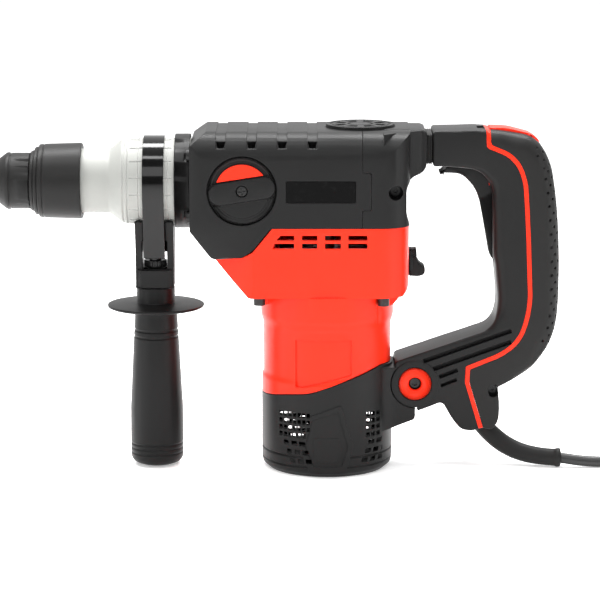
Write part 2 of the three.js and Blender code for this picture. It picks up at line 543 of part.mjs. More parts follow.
function buildSideHandle() {
  const strap = [];
  const bandR = BARREL_R + GAP + 0.8;
  const tailAngle = 0.35;
  for (let i = 0; i <= 24; i += 1) {
    const a = -tailAngle + ((Math.PI + 2 * tailAngle) * i) / 24;
    strap.push([bandR * Math.cos(a), TOOL_Z + bandR * Math.sin(a)]);
  }
  const foot = [13.7, 149.5];
  const ribbonPoints = [foot, ...strap, [-foot[0], foot[1]]];
  const side = (offset) => ribbonPoints.map((p, i, all) => {
    const a = new THREE.Vector2(...all[Math.max(i - 1, 0)]);
    const b = new THREE.Vector2(...all[Math.min(i + 1, all.length - 1)]);
    const run = b.sub(a).normalize();
    return [p[0] + run.y * offset, p[1] - run.x * offset];
  });
  const band = alongX([...side(0.8), ...side(-0.7).reverse()], -7.35, 7.35);
  const pinHoles = rodY(-20, 20, 4.4, 0, 151.8, 16);
  add('clamp_band', cut(band, pinHoles), GLOSS, sideHandle);

  const barrelSeat = rodX(-20, 20, BARREL_R + GAP + 0.2, 0, TOOL_Z, 32);
  const cheek = [[-11.5, 128], [11.5, 128], [11.5, 152], [19.5, 176], [-19.5, 176], [-11.5, 152]];
  const collar = alongZ([[-13.3, -13.3, 5], [13.3, -13.3, 5], [13.3, 13.3, 5], [-13.3, 13.3, 5]], 128, 141.4);
  const frame = cut(
    join(alongX(cheek, -13.35, 13.35), collar),
    box(-8.6, 8.6, -30, 30, 141.4, 161.5), barrelSeat, rodZ(120, 160, 4.6, 0, 0),
  );
  add('clamp_bracket', frame, BLACK, sideHandle);
  const crossPin = rodY(-15.5, 15.5, 4, 0, 151.8, 16);
  add('clamp_bolt', join(crossPin, rodZ(70, 151, 4.1, 0, 0, 16), rodZ(141.8, 146.5, 8.2, 0, 0, 16)),
    STEEL, sideHandle);
  add('side_grip', turnedZ([
    [0.8, 0], [0.8, 12], [3, 16.5], [6, 18.5], [41, 18.5], [107, 14.9], [112.8, 14.9], [112.8, 33], [113.6, 34],
    [115.2, 34], [116, 20], [116.5, 13.4], [127.6, 13.4], [127.6, 4.5], [66, 4.5], [66, 0],
  ], 24), RUBBER, sideHandle);
}

buildChuck();
buildBarrel();
buildStriker();
buildGears();
buildGearbox();
buildSelector();
buildMotorHousing();
buildEndCap();
buildMotor();
buildRearHandle();
buildCord();
buildSideHandle();

export default nodes;
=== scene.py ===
# %% [markdown]
# # A rotary hammer, piece by piece
# The tool's frame, its sizes and its moving bodies come ready made. This lesson dresses them: each visible
# part is modelled again with finer edges and gets the finish of the real plastic, rubber, cast metal or steel.
# Lengths in the modelling cells are millimetres, because that is how such a tool is drawn.

# %% Load the frame
import math

import bmesh
import bpy
from mathutils import Matrix, Vector


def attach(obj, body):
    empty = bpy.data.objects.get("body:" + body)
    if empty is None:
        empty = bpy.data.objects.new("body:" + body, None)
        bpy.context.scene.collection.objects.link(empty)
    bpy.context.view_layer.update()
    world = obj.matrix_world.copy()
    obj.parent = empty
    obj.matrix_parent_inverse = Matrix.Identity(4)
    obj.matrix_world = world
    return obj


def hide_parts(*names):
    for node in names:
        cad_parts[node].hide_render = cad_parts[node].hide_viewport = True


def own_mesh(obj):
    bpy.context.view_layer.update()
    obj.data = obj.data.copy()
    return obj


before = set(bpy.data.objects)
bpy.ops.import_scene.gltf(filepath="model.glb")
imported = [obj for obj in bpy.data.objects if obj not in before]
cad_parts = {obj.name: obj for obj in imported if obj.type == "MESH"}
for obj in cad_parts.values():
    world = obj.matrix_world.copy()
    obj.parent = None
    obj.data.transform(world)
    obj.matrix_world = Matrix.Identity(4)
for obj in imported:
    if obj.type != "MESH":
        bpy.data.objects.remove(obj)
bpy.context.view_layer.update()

# %% [markdown]
# ## Camera
# The tool is seen from its left side, from a little above, with a long lens. A long lens keeps the barrel,
# the handle and the motor at nearly the same scale, as on a catalogue page.

# %% Camera
MM = 0.001
eye = Vector((-0.019, -1.873, 0.469))
target = Vector((-0.019, 0.0, 0.1175))
camera_data = bpy.data.cameras.new("camera")
camera_data.lens = 163
camera_data.sensor_width = 36
camera = bpy.data.objects.new("camera", camera_data)
camera.location = eye
camera.rotation_euler = (target - eye).to_track_quat("-Z", "Y").to_euler()
bpy.context.collection.objects.link(camera)
bpy.context.scene.camera = camera
print("camera to target:", round((target - eye).length, 3), "m")

# %% [markdown]
# ## Shader maths
# A material is a small program of nodes. Writing each node by hand is slow to read, so one class wraps a
# socket and lets Python's own operators add Math nodes. Colours and vectors never go through Math nodes,
# because those turn a colour grey: they go through Mix and Vector Math.

# %% A socket that can be added and multiplied
class Wire:
    def __init__(self, finish, socket):
        self.finish, self.socket = finish, socket

    def maths(self, operation, first, second):
        return self.finish.node("ShaderNodeMath", {"operation": operation}, {0: first, 1: second})

    def __add__(self, other):
        return self.maths("ADD", self, other)

    def __radd__(self, other):
        return self.maths("ADD", other, self)

    def __sub__(self, other):
        return self.maths("SUBTRACT", self, other)

    def __rsub__(self, other):
        return self.maths("SUBTRACT", other, self)

    def __mul__(self, other):
        return self.maths("MULTIPLY", self, other)

    def __rmul__(self, other):
        return self.maths("MULTIPLY", other, self)


HIGHLIGHT_EDGE = 0.0006
SOFT_EDGE = 0.0008


class Finish:
    def __init__(self, name, **sockets):
        self.material = bpy.data.materials.new(name)
        self.material.use_nodes = True
        self.tree = self.material.node_tree
        self.shader = self.tree.nodes["Principled BSDF"]
        for socket, value in sockets.items():
            self.shader.inputs[socket.replace("_", " ")].default_value = value
        self.place = self.node("ShaderNodeTexCoord", {}, {}, "Object")

    def node(self, kind, settings, sockets, out=0):
        made = self.tree.nodes.new(kind)
        for key, value in settings.items():
            setattr(made, key, value)
        for key, value in sockets.items():
            if isinstance(value, Wire):
                self.tree.links.new(value.socket, made.inputs[key])
            else:
                made.inputs[key].default_value = value
        return Wire(self, made.outputs[out])

    def feed(self, socket, wire):
        self.tree.links.new(wire.socket, self.shader.inputs[socket])

    def noise(self, scale, detail=3.0, rough=0.5):
        return self.node("ShaderNodeTexNoise", {}, {"Vector": self.place, "Scale": scale, "Detail": detail,
                                                    "Roughness": rough})

    def ramp(self, value, low, high):
        return self.node("ShaderNodeMapRange", {"clamp": True}, {"Value": value, "From Min": low, "From Max": high})

    def mix(self, factor, first, second):
        made = self.tree.nodes.new("ShaderNodeMix")
        made.data_type = "RGBA"
        for index, value in ((0, factor), (6, first), (7, second)):
            if isinstance(value, Wire):
                self.tree.links.new(value.socket, made.inputs[index])
            else:
                made.inputs[index].default_value = value
        return Wire(self, made.outputs[2])

    def edges(self, width):
        """1 on an outside edge, 0 on a flat: how far a rounded normal leans away from the true one."""
        soft = self.node("ShaderNodeBevel", {"samples": 4}, {"Radius": width})
        true = self.node("ShaderNodeNewGeometry", {}, {}, "True Normal")
        lean = self.node("ShaderNodeVectorMath", {"operation": "DOT_PRODUCT"}, {0: soft, 1: true}, "Value")
        return self.ramp(1 - lean, 0.02, 0.25)

# %% [markdown]
# ## Moulded plastic and rubber
# The shells are glass-filled nylon from a spark-eroded mould: a fine, even grain, slightly cloudy in tone. Their
# edges are painted a little paler in patches, a painted highlight where an edge catches the light. An image of that
# would smear when the tool is seen from another side, so noise in three dimensions makes the grain, the clouds and the
# painted edge highlight.

# %% Grainy finishes
def grainy(name, dark, light, edge_highlight, rough, grain, depth, highlight_share=0.4, **sockets):
    finish = Finish(name, **sockets)
    cloud = finish.noise(26, 2)
    speck = finish.noise(grain, 2, 0.6)
    # Patchy noise and the edge mask make the edges paler: a painted edge highlight, and a little less rough there.
    scuff_and_highlight_patches = finish.ramp(finish.noise(150, 5, 0.7), 0.5, 0.7)
    edge = finish.edges(HIGHLIGHT_EDGE) * (0.3 + 0.7 * scuff_and_highlight_patches)
    body = finish.mix(0.6 * cloud + 0.4 * speck, dark, light)
    finish.feed("Base Color", finish.mix(highlight_share * edge, body, edge_highlight))
    finish.feed("Roughness", rough + 0.14 * (cloud - 0.5) + 0.1 * (speck - 0.5) - 0.08 * edge)
    height = speck + 0.25 * finish.noise(grain * 0.3, 2)
    rounded_rim = finish.node("ShaderNodeBevel", {"samples": 6}, {"Radius": SOFT_EDGE})
    finish.feed("Normal", finish.node("ShaderNodeBump", {}, {"Strength": 0.35, "Distance": depth, "Height": height,
                                                             "Normal": rounded_rim}))
    return finish.material


def grey(level, warm=0.0):
    return (level * (1 + warm), level, level * (1 - warm), 1)


shell_black = grainy("shell_black", grey(0.007), grey(0.011), grey(0.045), 0.42, 1500, 0.00009, Specular_IOR_Level=0.17)
grip_black = grainy("grip_black", grey(0.005), grey(0.009), grey(0.035), 0.42, 1100, 0.00009, Specular_IOR_Level=0.17)
rubber_black = grainy("rubber_black", grey(0.010, 0.02), grey(0.015, 0.02), grey(0.04), 0.46, 900, 0.00008, 0.3,
                      Specular_IOR_Level=0.17)
motor_red = grainy("motor_red", (0.84, 0.022, 0.006, 1), (0.90, 0.030, 0.009, 1), (1.0, 0.09, 0.04, 1), 0.33, 1700,
                   0.00004, 0.3, Specular_IOR_Level=0.15)
cord_black = grainy("cord_black", grey(0.010), grey(0.016), grey(0.04), 0.4, 700, 0.00005, 0.3)
print("grainy finishes:", len(bpy.data.materials))

# %% [markdown]
# ## Cast metal, steel and copper
# The barrel is die-cast and bead-blasted: pale, with soft pits and darker streaks of handling dirt. The steel
# parts are turned, so their roughness comes in fine rings. Both are metals in the shader, and only the colour,
# the roughness and the bump change over the surface.

# %% Metal finishes
def cast(name, dark, light, metallic, rough):
    finish = Finish(name, Metallic=metallic)
    cloud = finish.noise(38, 4, 0.6)
    pits = finish.noise(1300, 3, 0.6)
    stain = finish.ramp(finish.noise(90, 5, 0.7), 0.58, 0.75)
    edge = finish.edges(HIGHLIGHT_EDGE)
    body = finish.mix(0.7 * cloud + 0.3 * pits, dark, light)
    body = finish.mix(0.16 * stain, body, grey(0.28))
    # The edges are mixed towards pale grey: a painted edge highlight.
    finish.feed("Base Color", finish.mix(0.5 * edge, body, grey(0.8)))
    finish.feed("Roughness", rough + 0.2 * (cloud - 0.5) + 0.12 * (pits - 0.5))
    finish.feed("Normal", finish.node("ShaderNodeBump", {}, {"Strength": 0.4, "Distance": 0.00012, "Height": pits}))
    return finish.material


def turned_steel(name, dark, light, rough, metallic=1.0, scuffed=0.25, **sockets):
    finish = Finish(name, Metallic=metallic, **sockets)
    rings = finish.node("ShaderNodeTexNoise", {}, {"Vector": finish.place, "Scale": 900, "Detail": 2.0})
    cloud = finish.noise(60, 3)
    scuff_and_highlight_patches = finish.ramp(finish.noise(320, 5, 0.7), 0.55, 0.72)
    body = finish.mix(cloud, dark, light)
    finish.feed("Base Color", finish.mix(scuffed * scuff_and_highlight_patches, body, grey(0.5)))
    finish.feed("Roughness", rough + 0.1 * (rings - 0.5) + 0.4 * scuffed * scuff_and_highlight_patches)
    finish.feed("Normal", finish.node("ShaderNodeBump", {}, {"Strength": 0.2, "Distance": 0.00003, "Height": rings}))
    return finish.material


barrel_grey = cast("barrel_grey", (0.27, 0.274, 0.258, 1), (0.35, 0.355, 0.335, 1), 0.12, 0.55)
bright_steel = turned_steel("bright_steel", grey(0.42), grey(0.58), 0.3)
screw_steel = turned_steel("screw_steel", grey(0.012), grey(0.022), 0.34, 0.2, 0.05, Specular_IOR_Level=0.3)
band_black = turned_steel("band_black", grey(0.002), grey(0.004), 0.10, 0.0, 0.01, Specular_IOR_Level=0.3)
wound_copper = turned_steel("wound_copper", (0.62, 0.24, 0.10, 1), (0.75, 0.33, 0.15, 1), 0.4)
plate_black = turned_steel("plate_black", grey(0.002), grey(0.003), 0.2, 0.0, 0.01, Specular_IOR_Level=0.06)
print("finishes:", [m.name for m in bpy.data.materials if m.users == 0])

# %% [markdown]
# ## Flat outlines, slabs and turned shapes
# Nearly every shell is a rounded outline pushed to a thickness, or a profile spun about an axis. The outline is
# one face whose corners are rounded with a vertex bevel: the third number of a corner says how far back along
# its sides the round begins. A slab extrudes that face, and a turned piece spins its edges all the way round.

# %% Slabs and turned shapes
PLANES = {"XZ": lambda a, b, c: (a, c, b), "YZ": lambda a, b, c: (c, a, b), "XY": lambda a, b, c: (a, b, c)}
TURNS = {"X": Matrix.Identity(4), "Y": Matrix.Rotation(math.pi / 2, 4, "Z"),
         "Z": Matrix.Rotation(-math.pi / 2, 4, "Y")}


def flat(outline, plane="XZ", at=0.0, segments=8):
    shape = bmesh.new()
    corners = [shape.verts.new(PLANES[plane](a, b, at)) for a, b, *_ in outline]
    shape.faces.new(corners)
    rounds = {}
    for i, (corner, (_, _, *back)) in enumerate(zip(corners, outline)):
        if back:
            sides = [(corner.co - corners[j].co).length for j in (i - 1, (i + 1) % len(corners))]
            rounds.setdefault(min(back[0], 0.48 * min(sides)), []).append(corner)
    for reach, group in rounds.items():
        bmesh.ops.bevel(shape, geom=group, offset=reach, offset_type="OFFSET", segments=segments, profile=0.5,
                        affect="VERTICES", material=-1)
    return shape


def slab(outline, low, high, plane="XZ", segments=8):
    shape = flat(outline, plane, low, segments)
    grown = bmesh.ops.extrude_face_region(shape, geom=shape.faces[:])["geom"]
    bmesh.ops.translate(shape, verts=[v for v in grown if isinstance(v, bmesh.types.BMVert)],
                        vec=PLANES[plane](0, 0, high - low))
    bmesh.ops.recalc_face_normals(shape, faces=shape.faces)
    return shape


def lofted(outline, at, other, other_at, plane="XZ"):
    shape = joined(flat(outline, plane, at), flat(other, plane, other_at))
    bmesh.ops.bridge_loops(shape, edges=shape.edges[:])
    bmesh.ops.recalc_face_normals(shape, faces=shape.faces)
    return shape


def moved(shape, matrix):
    bmesh.ops.transform(shape, matrix=matrix, verts=shape.verts)
    return shape


def turned(profile, axis="X", centre=(0, 0, 0), steps=96, segments=5):
    shape = flat(profile, "XZ", 0, segments)
    bmesh.ops.delete(shape, geom=shape.faces[:], context="FACES_ONLY")
    bmesh.ops.spin(shape, geom=shape.verts[:] + shape.edges[:], cent=(0, 0, 0), axis=(1, 0, 0), angle=2 * math.pi,
                   steps=steps, use_merge=True, use_duplicate=False)
    bmesh.ops.remove_doubles(shape, verts=shape.verts, dist=0.0005)
    bmesh.ops.dissolve_degenerate(shape, edges=shape.edges, dist=0.0005)
    bmesh.ops.recalc_face_normals(shape, faces=shape.faces)
    return moved(shape, Matrix.Translation(centre) @ TURNS[axis])


def disc(axis, low, high, radius, centre=(0, 0, 0), steps=48):
    return turned([(low, 0), (low, radius), (high, radius), (high, 0)], axis, centre, steps)


def block(low, high):
    shape = bmesh.new()
    bmesh.ops.create_cube(shape, size=1)
    size = [b - a for a, b in zip(low, high)]
    middle = [(a + b) / 2 for a, b in zip(low, high)]
    return moved(shape, Matrix.Translation(middle) @ Matrix.Diagonal((*size, 1)))


# %% [markdown]
# ## Cutting and joining shapes
# A pocket, a vent or a seat is quickest cut with another solid, as a milling cutter would. The manifold boolean
# solver keeps clean edges. Every face with many corners is split into triangles first, because a face with a hole in
# it would come back broken, and afterwards points that almost coincide are welded.

# %% Cutters
WELD = 0.002
SLIVER = 0.003


def joined(*shapes):
    whole = shapes[0]
    for shape in shapes[1:]:
        mesh = bpy.data.meshes.new("part")
        shape.to_mesh(mesh)
        whole.from_mesh(mesh)
        bpy.data.meshes.remove(mesh)
        shape.free()
    return whole


def loose(shape):
    thing = bpy.data.objects.new("loose", bpy.data.meshes.new("loose"))
    shape.to_mesh(thing.data)
    shape.free()
    bpy.context.collection.objects.link(thing)
    return thing


def combined(shape, operation, *tools):
    for part in (shape, *tools):
        bmesh.ops.triangulate(part, faces=[face for face in part.faces if len(face.verts) > 4])
    body, cutters = loose(shape), [loose(tool) for tool in tools]
    for cutter in cutters:
        step = body.modifiers.new("step", "BOOLEAN")
        step.operation, step.object, step.solver = operation, cutter, "MANIFOLD"
    result = bmesh.new()
    result.from_object(body, bpy.context.evaluated_depsgraph_get())
    for thing in (body, *cutters):
        mesh = thing.data
        bpy.data.objects.remove(thing)
        bpy.data.meshes.remove(mesh)
    bmesh.ops.remove_doubles(result, verts=result.verts, dist=WELD)
    bmesh.ops.dissolve_degenerate(result, dist=SLIVER, edges=result.edges)
    return result


def cut(shape, *tools):
    return combined(shape, "DIFFERENCE", *tools)


def common(shape, *tools):
    return combined(shape, "INTERSECT", *tools)


def fused(shape, *tools):
    return combined(shape, "UNION", *tools)


# %% [markdown]
# ## Finishing a piece
# No moulded or turned edge is knife sharp. A narrow bevel on every corner catches the light in a thin line,
# which is most of what makes a shell look solid. Shells that were cut many times are left sharp here, and only
# their finish rounds the edges. The piece is scaled to metres here, and tied to the body that
# carries it, so it moves when that body moves.


def piece(name, shape, body, material, nodes=(), soften=0.4, angle=18, bands=2):
    bmesh.ops.triangulate(shape, faces=[face for face in shape.faces if len(face.verts) > 4])
    bmesh.ops.scale(shape, vec=(MM, MM, MM), verts=shape.verts)
    for face in shape.faces:
        face.smooth = True
    thing = bpy.data.objects.new(name, bpy.data.meshes.new(name))
    shape.to_mesh(thing.data)
    shape.free()
    bpy.context.collection.objects.link(thing)
    thing.data.materials.append(material)
    if soften:
        bevel = thing.modifiers.new("soft_edges", "BEVEL")
        bevel.width, bevel.segments, bevel.limit_method = soften * MM, bands, "ANGLE"
        bevel.angle_limit, bevel.use_clamp_overlap, bevel.harden_normals = math.radians(angle), False, True
    else:
        thing.data.set_sharp_from_angle(angle=math.radians(angle))
    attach(thing, body)
    if nodes:
        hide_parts(*nodes)
    print(name, "faces:", len(thing.data.polygons))
    return thing

# %% [markdown]
# ## The supply cord
# A rubber mains lead of 2.7 m leaves the lower end of the rear handle through its bend guard, drops to the bench and
# runs off behind the tool. The rest is wound in a neat coil of nine turns, with the plug lying on top. A curve
# with a round bevel keeps one thickness everywhere. Each turn stays on its own ring and steps to the next one
# over a short stretch, as a hand-wound coil does.

# %% Cord
CORD_D = 7.8
route = [(130, -4.4, 11.8), (140, -7, 8.6), (151, -9.6, 7.2), (163, -11.6, 6.9), (171, -12.5, 5.8), (180, -13, 4.6),
         (190, -13, 4.1), (202, -13, 4.1), (214, -13, 4.1), (226, -13, 4.1), (238, -13, 4.1), (250, -13, 4.1)]
RINGS = [54, 46, 38, 38, 46, 54, 54, 46, 38, 36]
LAYERS = [4.1, 4.1, 4.1, 11.9, 11.9, 11.9, 19.7, 19.7, 19.7, 27.4]
STEPS = 16


def eased(t):
    return t * t * (3 - 2 * t)


for turn in range(9):
    for step in range(STEPS):
        slide = eased(max(0.0, (step / STEPS - 0.65) / 0.35))
        radius = RINGS[turn] + (RINGS[turn + 1] - RINGS[turn]) * slide
        height = LAYERS[turn] + (LAYERS[turn + 1] - LAYERS[turn]) * slide
        angle = math.radians(-90) + 2 * math.pi * step / STEPS
        route.append((263 + radius * math.cos(angle), 41 + radius * math.sin(angle), height))
for degrees, height in ((-90, 27.4), (-68, 27.6), (-46, 28.8), (-28, 30.4)):
    route.append((263 + 36 * math.cos(math.radians(degrees)), 41 + 36 * math.sin(math.radians(degrees)), height))
heading = Vector((math.cos(math.radians(80)), math.sin(math.radians(80)), 0))
plug_middle = Vector((303, 60.3, 31.2))
route += [tuple(plug_middle - 24 * heading), tuple(plug_middle - 16 * heading)]

cord_line = bpy.data.curves.new("mains_cord", "CURVE")
cord_line.dimensions, cord_line.bevel_depth, cord_line.bevel_resolution = "3D", CORD_D / 2 * MM, 4
cord_line.resolution_u, cord_line.use_fill_caps = 3, True
spline = cord_line.splines.new("NURBS")
spline.points.add(len(route) - 1)
for point, place in zip(spline.points, route):
    point.co = (*(MM * value for value in place), 1)
spline.order_u, spline.use_endpoint_u = 4, True
cord = bpy.data.objects.new("mains_cord", cord_line)
bpy.context.collection.objects.link(cord)
cord_line.materials.append(cord_black)
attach(cord, "rear_handle")
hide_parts("cord", "cord_coil")
run = sum((Vector(a) - Vector(b)).length for a, b in zip(route, route[1:]))
print("cord route:", round(run), "mm")

# %% [markdown]
# ## Plug
# The plug is one rubber moulding with two round pins. Its outline is waisted so that fingers can pull it, with
# ribs across the back half.

# %% Plug
plug_place = Matrix.Translation((303, 60.3, 23.7)) @ Matrix.Rotation(math.radians(80), 4, "Z")
plug_body = slab([(-26, -8, 5), (6, -18, 6), (16, -13, 4), (16, 13, 4), (6, 18, 6), (-26, 8, 5)], 0, 15, "XY", 8)
finger_ribs = [block((x, -20, 14), (x + 1.6, 20, 17)) for x in (-18, -14, -10, -6, -2)]
plug_body = cut(plug_body, disc("X", -27, -15, 3.9, (0, 0, 7.5), 24), *finger_ribs)
plug = piece("plug_body", moved(plug_body, plug_place), "rear_handle", rubber_black, ["plug"], 1.6, 40, 4)
plug_pins = joined(*[turned([(12, 0), (12, 2.4), (34, 2.4, 1.2), (34, 0)], "X", (0, y, 7.5), 24) for y in (-9.5, 9.5)])
pins = piece("plug_pins", moved(plug_pins, plug_place), "rear_handle", bright_steel, (), 0)

# %% [markdown]
# ## Bend guard
# A tapered rubber boot keeps the cord from kinking where it leaves the handle. It is a curve with a radius at each
# point, thick at the handle and ending in a small collar.

# %% Bend guard
boot_line = bpy.data.curves.new("bend_guard", "CURVE")
boot_line.dimensions, boot_line.bevel_depth, boot_line.bevel_resolution = "3D", MM, 6
boot_line.resolution_u, boot_line.use_fill_caps = 3, True
spline = boot_line.splines.new("NURBS")
boot = [(107.8, 0, 31.5, 6.6), (109.8, 0, 28.5, 6.6), (114, -0.6, 23.6, 6.6), (121, -2, 17.2, 6.6),
        (130, -4.4, 11.8, 6.5), (140, -7, 8.6, 6.3),
        (151, -9.6, 7.2, 6.1), (160.6, -11.2, 6.9, 6.0), (161.2, -11.3, 6.9, 6.7), (164, -11.7, 6.9, 6.7),
        (164.6, -11.8, 6.9, 5.4), (164.7, -11.8, 6.9, 4.4)]
spline.points.add(len(boot) - 1)
for point, (x, y, z, radius) in zip(spline.points, boot):
    point.co, point.radius = (MM * x, MM * y, MM * z, 1), radius
spline.order_u, spline.use_endpoint_u = 3, True
guard = bpy.data.objects.new("bend_guard", boot_line)
bpy.context.collection.objects.link(guard)
boot_line.materials.append(rubber_black)
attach(guard, "rear_handle")
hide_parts("cord_guard")

# %% [markdown]
# ## Dust cap and lock sleeve
# The rubber dust cap keeps grit out of the chuck, and behind it slides the sleeve that frees the tool bit. Both
# are round about the tool's axis, so each is one profile of its wall, spun once. The sleeve's front has three
# narrow steps for the fingers.

# %% Chuck
TOOL = (0, 0, 202)
dust = turned([(-228.4, 5.8), (-228.4, 15.2, 0.6), (-222.4, 19.8, 1.2), (-220.4, 19.9, 0.5), (-220.1, 19.1),
               (-219.4, 19.1),
               (-219.1, 19.5, 0.4), (-206.2, 19.5, 0.4), (-206.2, 10.5), (-218, 10.5), (-222, 5.8)], "X", TOOL)
piece("dust_cap_rubber", dust, "spindle", rubber_black, ["dust_cap"], 0.3)
sleeve_wall = [(-205.8, 11.5), (-205.8, 20.6, 0.8), (-203.7, 21.3, 0.6), (-203.3, 20.7), (-203.0, 22.4),
               (-202.6, 23.4, 0.6),
               (-200.7, 23.7, 0.6), (-200.3, 23.0), (-200.0, 24.8), (-199.6, 25.3, 0.5), (-197.2, 25.6, 0.6),
               (-196.8, 24.9),
               (-196.4, 25.3), (-195.9, 25.7, 0.4), (-171.2, 26.4, 0.8), (-170.2, 25.9), (-170.2, 22.9), (-196, 22.9),
               (-199, 18.5),
               (-203, 18.5), (-203, 11.5)]
piece("lock_sleeve_grip", turned(sleeve_wall, "X", TOOL), "sleeve", rubber_black, ["lock_sleeve"], 0.25)

# %% [markdown]
# ## Cast barrel
# The barrel housing is one casting: a plain neck, a cone, a bead and the seat for the side handle's clamp, where
# shallow grooves run along and around it so that the clamp can't turn. The grooves are cut with long thin boxes
# set around the axis.

# %% Barrel
barrel_wall = [(-172, 12.5), (-172, 22.4, 0.5), (-150.7, 22.4, 1.2), (-142.7, 29.0, 1.2), (-141.6, 29.5),
               (-141.3, 29.1), (-140.2, 29.1),
               (-139.9, 29.8, 0.3), (-138.4, 29.9), (-138.1, 29.4), (-137.5, 29.4), (-137.2, 29.9), (-99.4, 29.9),
               (-99.1, 29.4), (-98.1, 29.4), (-97.8, 29.9), (-94.7, 29.9), (-94.7, 25), (-72, 25), (-72, 21),
               (-150, 19), (-160, 12.5)]
barrel = turned(barrel_wall, "X", TOOL, 120)
grooves = []
for index in range(16):
    turn = Matrix.Translation(TOOL) @ Matrix.Rotation(2 * math.pi * (index + 0.5) / 16, 4, "X")
    grooves.append(moved(block((-136.3, -0.55, 29.35), (-107.5, 0.55, 31)), turn))
ring_cut = turned([(-130.4, 29.45), (-129.6, 29.45), (-129.6, 31), (-130.4, 31)], "X", TOOL, 120)
ring_cut_2 = turned([(-110.4, 29.45), (-109.6, 29.45), (-109.6, 31), (-110.4, 31)], "X", TOOL, 120)
piece("barrel_casting", cut(barrel, joined(*grooves), joined(ring_cut, ring_cut_2)), "housing", barrel_grey,
      ["barrel_housing"], 0.2)

collar = turned([(-105.5, 30.2), (-105.5, 32.8, 0.6), (-94.9, 32.8), (-94.9, 30.2)], "X", TOOL, 120)
SCREWS = [(28.5, 223.5), (-28.5, 223.5), (28.5, 180.5), (-28.5, 180.5)]
collar = cut(collar, joined(*[disc("X", -98.5, -90, 4.5, (0, y, z), 32) for y, z in SCREWS]))
piece("collar_ring", collar, "housing", shell_black, ["front_collar"], 0.3)
for number, (y, z) in enumerate(SCREWS, 1):
    screw = turned([(-96.8, 0), (-96.8, 3.9, 0.5), (-91.5, 3.9), (-91.5, 2.3), (-66, 2.3), (-66, 0)], "X", (0, y, z),
                   32)
    screw = cut(screw, disc("X", -98, -94.6, 2.0, (0, y, z), 6))
    piece(f"barrel_bolt_{number}", screw, "housing", screw_steel, [f"barrel_screw_{number}"], 0.15)

# %% [markdown]
# ## Side handle clamp
# A glossy steel band goes round the barrel and both its ends run down into a black moulded bracket. A bolt with
# a knurled nut pulls them tight when the grip is turned. The band is a ring and two straight strips of one
# thickness, so its end view is drawn once and pushed along the barrel.

# %% Clamp band
SIDE = (-120, 0, 0)
sweep = [math.radians(-20 + 5 * i) for i in range(45)]


def on_band(radius, angle):
    return (radius * math.cos(angle), 202 + radius * math.sin(angle))


strap = [on_band(31.7, a) for a in sweep] + [(-15.2, 149.5), (-13.7, 149.5)]
strap += [on_band(30.2, a) for a in sweep[::-1]] + [(13.7, 149.5), (15.2, 149.5)]
band = slab(strap, -7.35, 7.35, "YZ")
band = moved(band, Matrix.Translation(SIDE))
piece("clamp_band_strap", band, "side_handle", band_black, ["clamp_band"], 0.35, 40)

# %% [markdown]
# ## Clamp bracket
# The bracket is a moulded fork: two cheeks reach up to the barrel on both sides of the band, a window shows the
# nut, and a square collar below carries the grip. It is a slab and a block joined, with the window, the barrel's
# seat and the bolt hole cut out.

# %% Clamp bracket
cheek = [(-11.5, 128, 1), (11.5, 128, 1), (11.5, 151, 4), (19.5, 176, 1), (-19.5, 176, 1), (-11.5, 151, 4)]
cheeks = slab(cheek, -13.35, 13.35, "YZ")
square = slab([(-13.3, -13.3, 5), (13.3, -13.3, 5), (13.3, 13.3, 5), (-13.3, 13.3, 5)], 128, 141.4, "XY")
bracket = fused(cheeks, square)
bracket = cut(bracket, block((-8.6, -30, 141.4), (8.6, 30, 161.5)), disc("X", -20, 20, 30.4, TOOL, 96),
              disc("Z", 120, 160, 4.6, (0, 0, 0), 32), block((-7.6, -30, 161), (7.6, -12.0, 190)),
              block((-7.6, 12.0, 161), (7.6, 30, 190)), block((-15, -15, 140.9), (15, -12.9, 141.4)))
piece("clamp_fork", moved(bracket, Matrix.Translation(SIDE)), "side_handle", shell_black, ["clamp_bracket"], 0.6, 40, 3)

nut = turned([(141.8, 4.0), (141.8, 8.0, 0.5), (146.5, 8.0, 0.5), (146.5, 4.0)], "Z", (0, 0, 0), 64)
knurl = []
for index in range(28):
    turn = Matrix.Rotation(2 * math.pi * index / 28, 4, "Z")
    knurl.append(moved(block((7.6, -0.28, 141), (8.6, 0.28, 147)), turn))
nut = cut(nut, joined(*knurl))
bolt = joined(turned([(70, 0), (70, 4.1, 0.8), (151, 4.1), (151, 0)], "Z", (0, 0, 0), 32),
              turned([(-13.5, 0), (-13.5, 4, 0.8), (13.5, 4, 0.8), (13.5, 0)], "Y", (0, 0, 151.8), 32), nut)
piece("clamp_bolt_steel", moved(bolt, Matrix.Translation(SIDE)), "side_handle", screw_steel, ["clamp_bolt"], 0.15)

# %% [markdown]
# ## Side grip
# The grip is a turned shape: a rounded end, a long taper, a disc that guards the hand and a glossy stub above it.
# Narrow rings near both ends and four long shallow panels keep the hand from slipping. The rings are part of the
# profile, and the panels are cut with slabs that follow the taper.

# %% Side grip
grip_wall = [(0.8, 0), (0.8, 11.5), (2.4, 16.0, 1.2), (5.0, 18.2, 1.4), (8.6, 18.5), (8.9, 17.9), (9.9, 17.9),
             (10.2, 18.5), (12.0, 18.5),
             (12.3, 17.9), (13.3, 17.9), (13.6, 18.5), (15.2, 18.5), (15.5, 17.9), (16.5, 17.9), (16.8, 18.5),
             (41, 18.5),
             (91.6, 15.8), (92.0, 15.2), (93.2, 15.2), (93.6, 15.7), (96.2, 15.5), (96.6, 14.9), (97.8, 14.9),
             (98.2, 15.4), (107, 14.9, 1),
             (112.6, 14.9, 0.8), (112.9, 32.6, 0.8), (113.6, 33.8, 0.5), (115.0, 33.9, 0.6), (116, 20.5, 1.5),
             (116.6, 13.4, 0.5),
             (127.6, 13.4, 0.5), (127.6, 4.5), (66, 4.5), (66, 0)]
grip = turned(grip_wall, "Z", (0, 0, 0), 128)
panels = []
